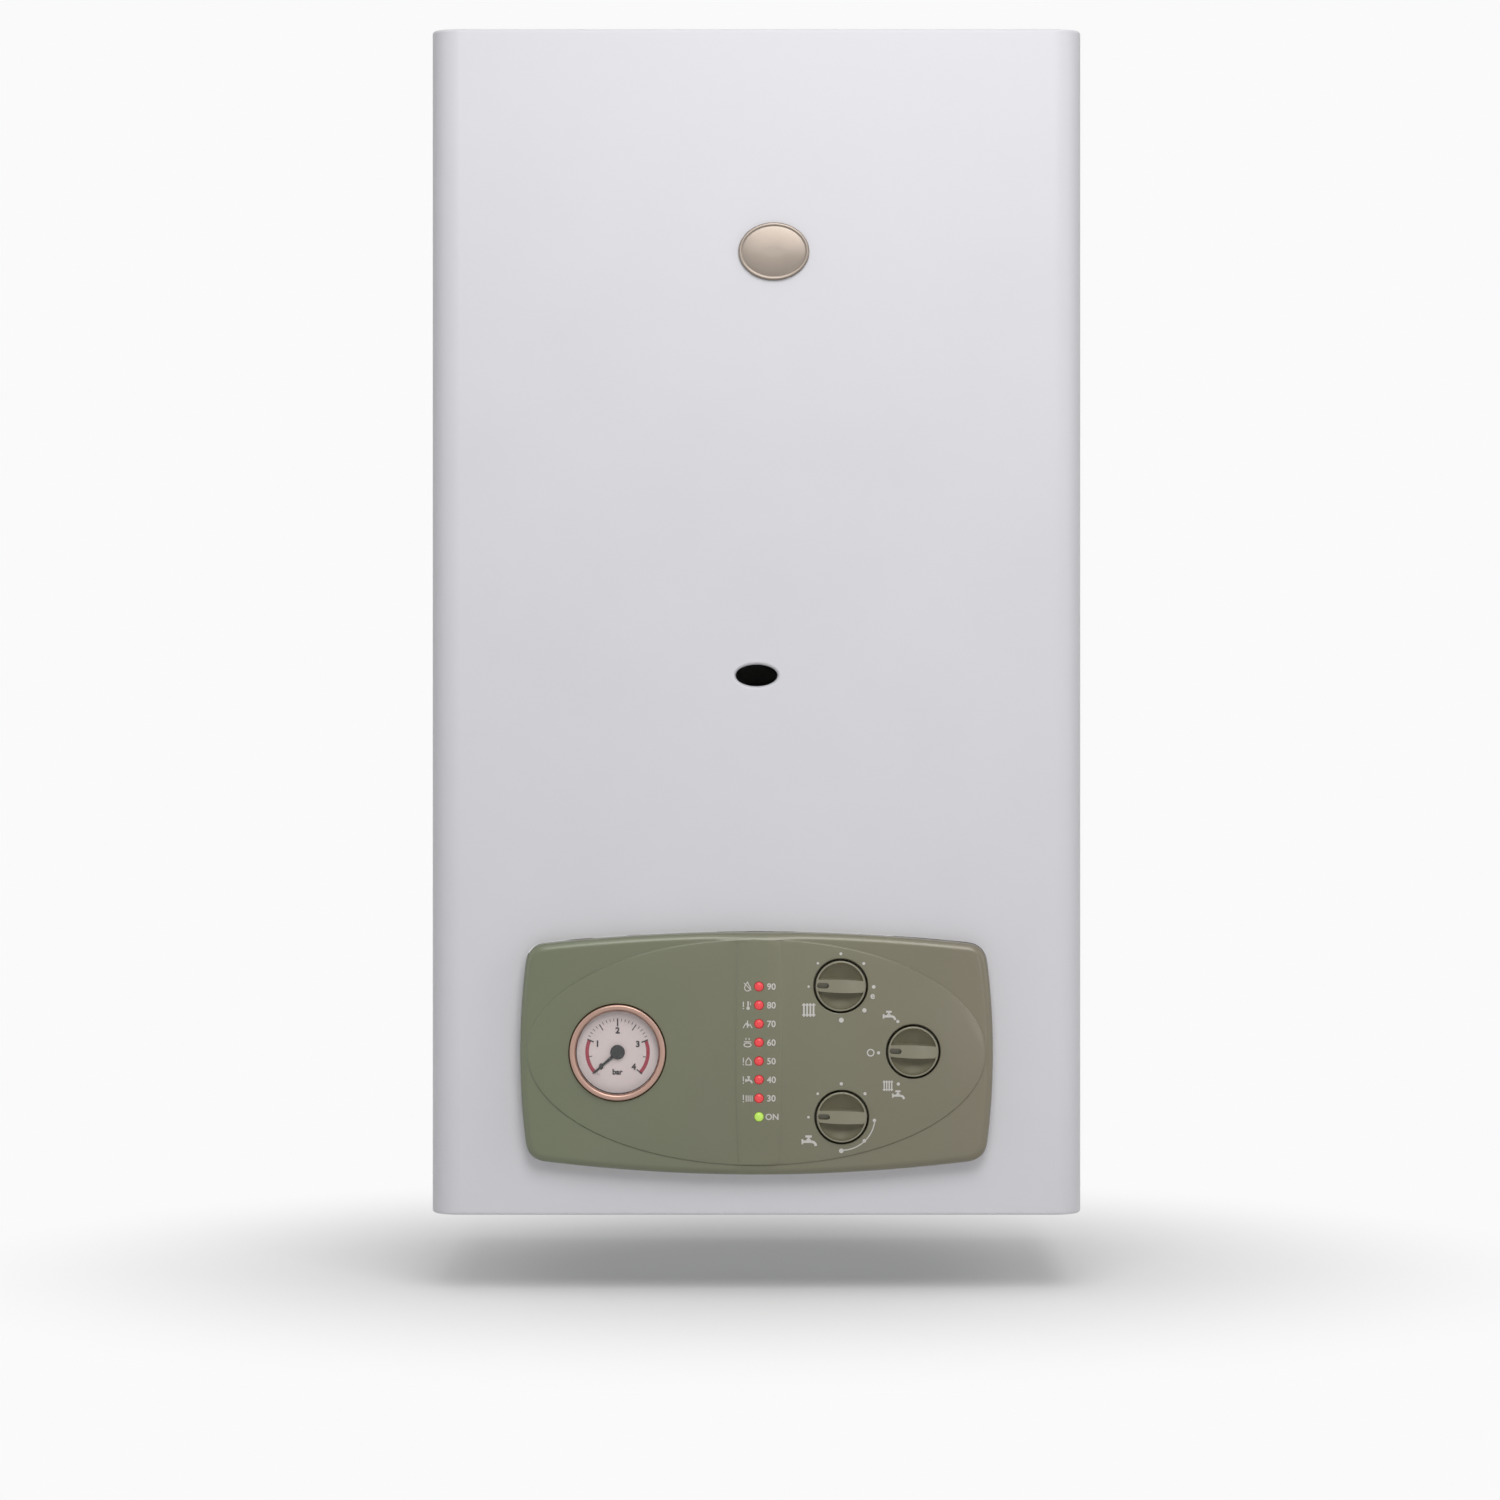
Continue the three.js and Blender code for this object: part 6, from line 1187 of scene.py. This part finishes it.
DRESSED = {
    "control_box": ("box_plastic", 0.5),
    "circuit_board": ("board", 0.25),
    "frame_left_rail": ("zinc_steel", 0.4),
    "frame_right_rail": ("zinc_steel", 0.4),
    "frame_top_rail": ("zinc_steel", 0.4),
    "frame_mid_rail": ("zinc_steel", 0.4),
    "frame_base_plate": ("zinc_steel", 0.4),
    "panel_bracket_left": ("zinc_steel", 0.3),
    "panel_bracket_right": ("zinc_steel", 0.3),
    "chamber_wrap": ("zinc_steel", 0.3),
    "chamber_top_plate": ("zinc_steel", 0.25),
    "chamber_bottom_plate": ("zinc_steel", 0.25),
    "chamber_cover": ("zinc_steel", 0.4),
    "sight_glass": ("gauge_glass", 0.3),
    "combustion_box": ("aluminised_steel", 0.3),
    "combustion_insulation": ("ceramic_fibre", 0.8),
    "burner": ("stainless", 0.3),
    "gas_manifold": ("aluminised_steel", 0.3),
    "ignition_electrode": ("ceramic", 0.3),
    "main_heat_exchanger": ("copper", 0.2),
    "flue_hood": ("aluminised_steel", 0.3),
    "fan_scroll": ("aluminised_steel", 0.3),
    "fan_impeller": ("aluminised_steel", 0.15),
    "fan_motor": ("cast_iron", 0.5),
    "air_pressure_switch": ("grey_plastic", 0.5),
    "flue_gasket": ("rubber_black", 0.4),
    "hydraulic_block_left": ("brass", 0.6),
    "hydraulic_block_right": ("brass", 0.6),
    "diverter_actuator": ("grey_plastic", 0.8),
    "plate_heat_exchanger": ("stainless", 0.5),
    "pump_volute": ("cast_iron", 0.8),
    "pump_motor": ("cast_iron", 0.6),
    "pump_speed_knob": ("cap_red", 0.5),
    "air_vent": ("brass", 0.3),
    "gas_valve": ("cast_aluminium", 0.7),
    "safety_valve": ("brass", 0.4),
    "safety_valve_cap": ("cap_red", 0.6),
    "filling_tap": ("brass", 0.4),
    "filling_tap_knob": ("cap_blue", 0.6),
}


def make_vessel():
    """The flat expansion vessel: two pressed halves, their rolled seam and the water nipple."""
    form = Form()
    r, half = VESSEL_RADIUS, VESSEL_HALF
    face = [(0, half - 3.5), (r - 96, half - 3.5), (r - 88, half - 2.6), (r - 80, half - 0.6)]
    face += [(r - 72, half), (r - 46, half), (r - 34, half - 0.8), (r - 24, half - 3.2)]
    face += [(r - 15, half - 8), (r - 8, half - 15), (r - 4, half - 22), (r - 1.5, half - 30), (r - 1, 4)]
    seam = [(r, 3.2), (r + 1.6, 2.4), (r + 2, 1), (r + 2, -1), (r + 1.6, -2.4), (r, -3.2)]
    profile = face + seam + [(radius, -along) for radius, along in reversed(face)]
    form.turn([(radius, VESSEL_MID + along) for radius, along in profile], (0, VESSEL_Z), steps=128)
    bottom = VESSEL_Z - r
    nipple = [(4, bottom - 8), (8, bottom - 8), (8, bottom + 4), (4, bottom + 4)]
    form.turn(nipple, (0, VESSEL_MID), "Z", 6, closed=True)
    make_piece("vessel_pressing", form, "vessel_red", "frame", ["expansion_vessel"])


def make_flue_collar():
    """The concentric flue socket: an inner spigot and an outer socket on a screwed flange."""
    low, top = 792.6, 812
    profile = [(29, low), (62, low), (62, low + 2.4), (61.4, low + 3), (52.5, low + 3)]
    profile += [(50.6, low + 4.4), (50, low + 6), (50, top - 0.6), (49.4, top), (48.6, top)]
    profile += [(48, top - 0.6), (48, low + 3), (31, low + 3)]
    profile += [(31, top - 0.4), (30.6, top), (29.4, top), (29, top - 0.4)]
    form = Form()
    form.turn(profile, (0, FLUE_Y), "Z", 96, closed=True)
    make_piece("flue_spigot", form, "cast_aluminium", "frame", ["flue_collar"])


def piped(corners, bend):
    """A pipe's route: straight runs joined by bends that start a set distance from each corner."""
    points = [Vector(corners[0])]
    for before, here, after in zip(corners, corners[1:], corners[2:]):
        here = Vector(here)
        start = here + (Vector(before) - here).normalized() * bend
        stop = here + (Vector(after) - here).normalized() * bend
        for k in range(9):
            t = k / 8
            points.append(start * (1 - t) ** 2 + here * 2 * t * (1 - t) + stop * t * t)
    return points + [Vector(corners[-1])]


def make_pipes():
    tube_end, tube_z, far, mid = 142.3, 504.3, 176, VESSEL_MID
    flow = [(-130, -100, 175.3), (-130, -100, 226), (-far, -140, 226), (-far, -140, tube_z)]
    back = [(130, -100, 200.3), (130, -100, 230), (far, -260, 230), (far, -260, tube_z)]
    gas = [(0, -160, 215.3), (0, -160, 240), (0, -284, 240), (0, -284, 297.7)]
    water = [(0, mid, 353.7), (0, mid, 200), (-90, mid, 200), (-90, -105, 180), (-90, -105, 102.3)]
    routes = {
        "flow_pipe": (flow + [(-tube_end, -140, tube_z)], 9, 19, "copper"),
        "return_pipe": (back + [(tube_end, -260, tube_z)], 9, 19, "copper"),
        "burner_gas_pipe": (gas, 7.5, 15, "aluminised_steel"),
        "vessel_pipe": (water, 5, 14, "copper"),
    }
    for node, (corners, radius, bend, slot) in routes.items():
        form = Form()
        form.tube(piped(corners, bend), radius, 32)
        make_piece("tube_" + node, form, slot, "frame", [node])
    dress("gas_inlet_pipe", "brass", 0.3)


# ---- stage

FLOOR_DROP = 55
CAMERA_X, CAMERA_Z = -0.0045, -0.370
CAMERA_DISTANCE = 3.6
PICTURE_PLANE = -0.325
FRAME_WIDTH = 1.0425  # metres across the frame at the picture plane
SHIFT_Y = -0.0854
SENSOR = 36
WORLD_LIGHT = 0.125
FLOOR_REACH = 8
# the floor's shadow lies round (x, y) and fades into the backdrop between these distances in metres
SHADOW_PLACE = (0, -0.19)
SHADOW_FADE = (0.1, 0.62)
SHADOW_LIFT = 0.22  # the backdrop's share where the shadow is strongest
# each lamp: its place, what it faces, its width and height in metres and its power in watts
LAMPS = {
    "key": ((0.15, -1.6, 0.55), (0, -0.345, -0.2), 1, 1, 14),
    "right": ((1.5, -1, 0), (0, -0.345, -0.37), 0.4, 1.4, 3),
    "left": ((-1.5, -1, 0), (0, -0.345, -0.37), 0.4, 1.4, 2.2),
    "top": ((0, -0.3, 1.3), (0, -0.3, 0), 2.2, 2.2, 9),
    "glint": ((0.6, -2.8, -0.7), (0, -0.345, -0.7), 0.12, 0.24, 1),
}


def make_camera():
    camera = bpy.data.cameras.new("camera")
    camera.sensor_width = SENSOR
    camera.lens = SENSOR * CAMERA_DISTANCE / FRAME_WIDTH
    camera.shift_y = SHIFT_Y
    camera.clip_end = 50
    holder = add_object("camera", camera)
    holder.location = (CAMERA_X, PICTURE_PLANE - CAMERA_DISTANCE, CAMERA_Z)
    holder.rotation_euler = (math.pi / 2, 0, 0)
    bpy.context.scene.camera = holder


def make_light(name, place, target, width, height, power):
    light = bpy.data.lights.new(name, "AREA")
    light.shape = "RECTANGLE"
    light.size, light.size_y = width, height
    light.energy = power
    holder = add_object(name, light)
    holder.location = place
    holder.rotation_mode = "QUATERNION"
    holder.rotation_quaternion = (Vector(target) - Vector(place)).to_track_quat("-Z", "Y")


def seen_directly(tree):
    """One for rays from the camera, a mirror or glass, which see the backdrop."""
    path = add(tree, "ShaderNodeLightPath")
    seen = path.outputs["Is Camera Ray"]
    for other in ("Is Glossy Ray", "Is Transmission Ray"):
        links = {0: seen, 1: path.outputs[other]}
        seen = add(tree, "ShaderNodeMath", links, operation="MAXIMUM").outputs[0]
    return seen


def make_world():
    world = bpy.data.worlds.new("soft light")
    tree = empty_tree(world)
    light = add(tree, "ShaderNodeBackground", {0: (1, 1, 1, 1), 1: WORLD_LIGHT})
    sight = add(tree, "ShaderNodeBackground", {0: (*linear(BACKDROP), 1), 1: 1})
    links = {0: seen_directly(tree), 1: light.outputs[0], 2: sight.outputs[0]}
    mixed = add(tree, "ShaderNodeMixShader", links)
    add(tree, "ShaderNodeOutputWorld", {"Surface": mixed.outputs[0]})
    bpy.context.scene.world = world


def floor_paper():
    """Keeps the shadow near the boiler and turns to the backdrop's colour round it."""
    material = bpy.data.materials.new("floor_paper")
    tree = empty_tree(material)
    place = add(tree, "ShaderNodeTexCoord").outputs["Object"]
    to_middle = {"Vector": place, "Location": (-SHADOW_PLACE[0], -SHADOW_PLACE[1], 0), "Scale": (1, 1, 0)}
    centred = add(tree, "ShaderNodeMapping", to_middle).outputs[0]
    away = add(tree, "ShaderNodeVectorMath", {0: centred}, operation="LENGTH").outputs["Value"]
    reach = {0: away, 1: SHADOW_FADE[0], 2: SHADOW_FADE[1], 3: SHADOW_LIFT, 4: 1}
    fade = add(tree, "ShaderNodeMapRange", reach, interpolation_type="SMOOTHSTEP").outputs[0]
    colour = (*linear(BACKDROP), 1)
    paper = add(tree, "ShaderNodeBsdfDiffuse", {0: colour}).outputs[0]
    glow = add(tree, "ShaderNodeEmission", {0: colour, 1: 1}).outputs[0]
    share = add(tree, "ShaderNodeMath", {0: seen_directly(tree), 1: fade}, operation="MULTIPLY").outputs[0]
    mixed = add(tree, "ShaderNodeMixShader", {0: share, 1: paper, 2: glow})
    add(tree, "ShaderNodeOutputMaterial", {"Surface": mixed.outputs[0]})
    return material


def make_floor():
    level = BASE - FLOOR_DROP * MM
    mesh = bpy.data.meshes.new("floor")
    corners = [(x * FLOOR_REACH, y * FLOOR_REACH, level) for x, y in ((-1, -1), (1, -1), (1, 1), (-1, 1))]
    mesh.from_pydata(corners, [], [[0, 1, 2, 3]])
    mesh.materials.append(floor_paper())
    floor = add_object("floor", mesh)
    floor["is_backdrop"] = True


def make_stage():
    bpy.context.scene.view_settings.view_transform = "Standard"
    make_camera()
    make_world()
    make_floor()
    for name, values in LAMPS.items():
        make_light(name, *values)


# ---- operators


class BOILER_OT_stage(bpy.types.Operator):
    """Sets up the floor, the light and the camera"""

    bl_idname = "boiler.stage"
    bl_label = "Stage"

    def execute(self, context):
        make_stage()
        return {"FINISHED"}


class BOILER_OT_casing(bpy.types.Operator):
    """Folds the white casing with its panel cut-out and peephole"""

    bl_idname = "boiler.casing"
    bl_label = "Casing"

    def execute(self, context):
        make_casing(context.scene.boiler_sizes)
        return {"FINISHED"}


class BOILER_OT_badge(bpy.types.Operator):
    """Makes the plain oval badge"""

    bl_idname = "boiler.badge"
    bl_label = "Badge"

    def execute(self, context):
        make_badge()
        return {"FINISHED"}


class BOILER_OT_fascia(bpy.types.Operator):
    """Moulds the panel's crowned face with its wells and recess"""

    bl_idname = "boiler.fascia"
    bl_label = "Panel moulding"

    def execute(self, context):
        make_fascia(context.scene.boiler_sizes)
        return {"FINISHED"}


class BOILER_OT_knobs(bpy.types.Operator):
    """Makes the three knobs"""

    bl_idname = "boiler.knobs"
    bl_label = "Knobs"

    def execute(self, context):
        for name, centre in KNOBS.items():
            make_knob(name, centre, context.scene.boiler_sizes)
        return {"FINISHED"}


class BOILER_OT_lamps(bpy.types.Operator):
    """Makes the red lamps and the green one"""

    bl_idname = "boiler.lamps"
    bl_label = "Lamps"

    def execute(self, context):
        make_lamps()
        return {"FINISHED"}


class BOILER_OT_gauge(bpy.types.Operator):
    """Makes the pressure gauge with its needle"""

    bl_idname = "boiler.gauge"
    bl_label = "Gauge"

    def execute(self, context):
        make_gauge()
        return {"FINISHED"}


class BOILER_OT_print(bpy.types.Operator):
    """Prints the marks on the panel and the gauge's dial"""

    bl_idname = "boiler.print"
    bl_label = "Printing"

    def execute(self, context):
        make_panel_print(context.scene.boiler_sizes)
        make_gauge_print()
        return {"FINISHED"}


class BOILER_OT_works(bpy.types.Operator):
    """Dresses the frame, the combustion chamber and the hydraulic group"""

    bl_idname = "boiler.works"
    bl_label = "Inner works"

    def execute(self, context):
        for node, (slot, bevel) in DRESSED.items():
            dress(node, slot, bevel)
        return {"FINISHED"}


class BOILER_OT_vessel(bpy.types.Operator):
    """Makes the expansion vessel"""

    bl_idname = "boiler.vessel"
    bl_label = "Expansion vessel"

    def execute(self, context):
        make_vessel()
        return {"FINISHED"}


class BOILER_OT_pipes(bpy.types.Operator):
    """Bends the pipes and turns the flue's collar"""

    bl_idname = "boiler.pipes"
    bl_label = "Pipes and flue"

    def execute(self, context):
        make_pipes()
        make_flue_collar()
        return {"FINISHED"}


OPERATORS = (
    BOILER_OT_stage,
    BOILER_OT_casing,
    BOILER_OT_badge,
    BOILER_OT_fascia,
    BOILER_OT_knobs,
    BOILER_OT_lamps,
    BOILER_OT_gauge,
    BOILER_OT_print,
    BOILER_OT_works,
    BOILER_OT_vessel,
    BOILER_OT_pipes,
)


class BOILER_PT_panel(bpy.types.Panel):
    """Lists the boiler's pieces in the sidebar"""

    bl_idname = "BOILER_PT_panel"
    bl_label = "Combi boiler"
    bl_space_type = "VIEW_3D"
    bl_region_type = "UI"
    bl_category = "Boiler"

    def draw(self, context):
        layout = self.layout
        for group in (context.scene.boiler_sizes, context.scene.boiler_colours):
            column = layout.column()
            for name in group.__annotations__:
                column.prop(group, name)
        for operator in OPERATORS:
            layout.operator(operator.bl_idname)


CLASSES = (BoilerSizes, BoilerColours, *OPERATORS, BOILER_PT_panel)


def register():
    for cls in CLASSES:
        bpy.utils.register_class(cls)
    bpy.types.Scene.boiler_sizes = bpy.props.PointerProperty(type=BoilerSizes)
    bpy.types.Scene.boiler_colours = bpy.props.PointerProperty(type=BoilerColours)


def unregister():
    del bpy.types.Scene.boiler_colours
    del bpy.types.Scene.boiler_sizes
    for cls in reversed(CLASSES):
        bpy.utils.unregister_class(cls)


def main():
    register()
    for operator in OPERATORS:
        group, name = operator.bl_idname.split(".")
        getattr(getattr(bpy.ops, group), name)()
    boxes = {"cad": CAD_BOX, "visual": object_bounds()}
    {key: [list(corner) for corner in box] for key, box in boxes.items()}


if __name__ == "__main__":
    main()
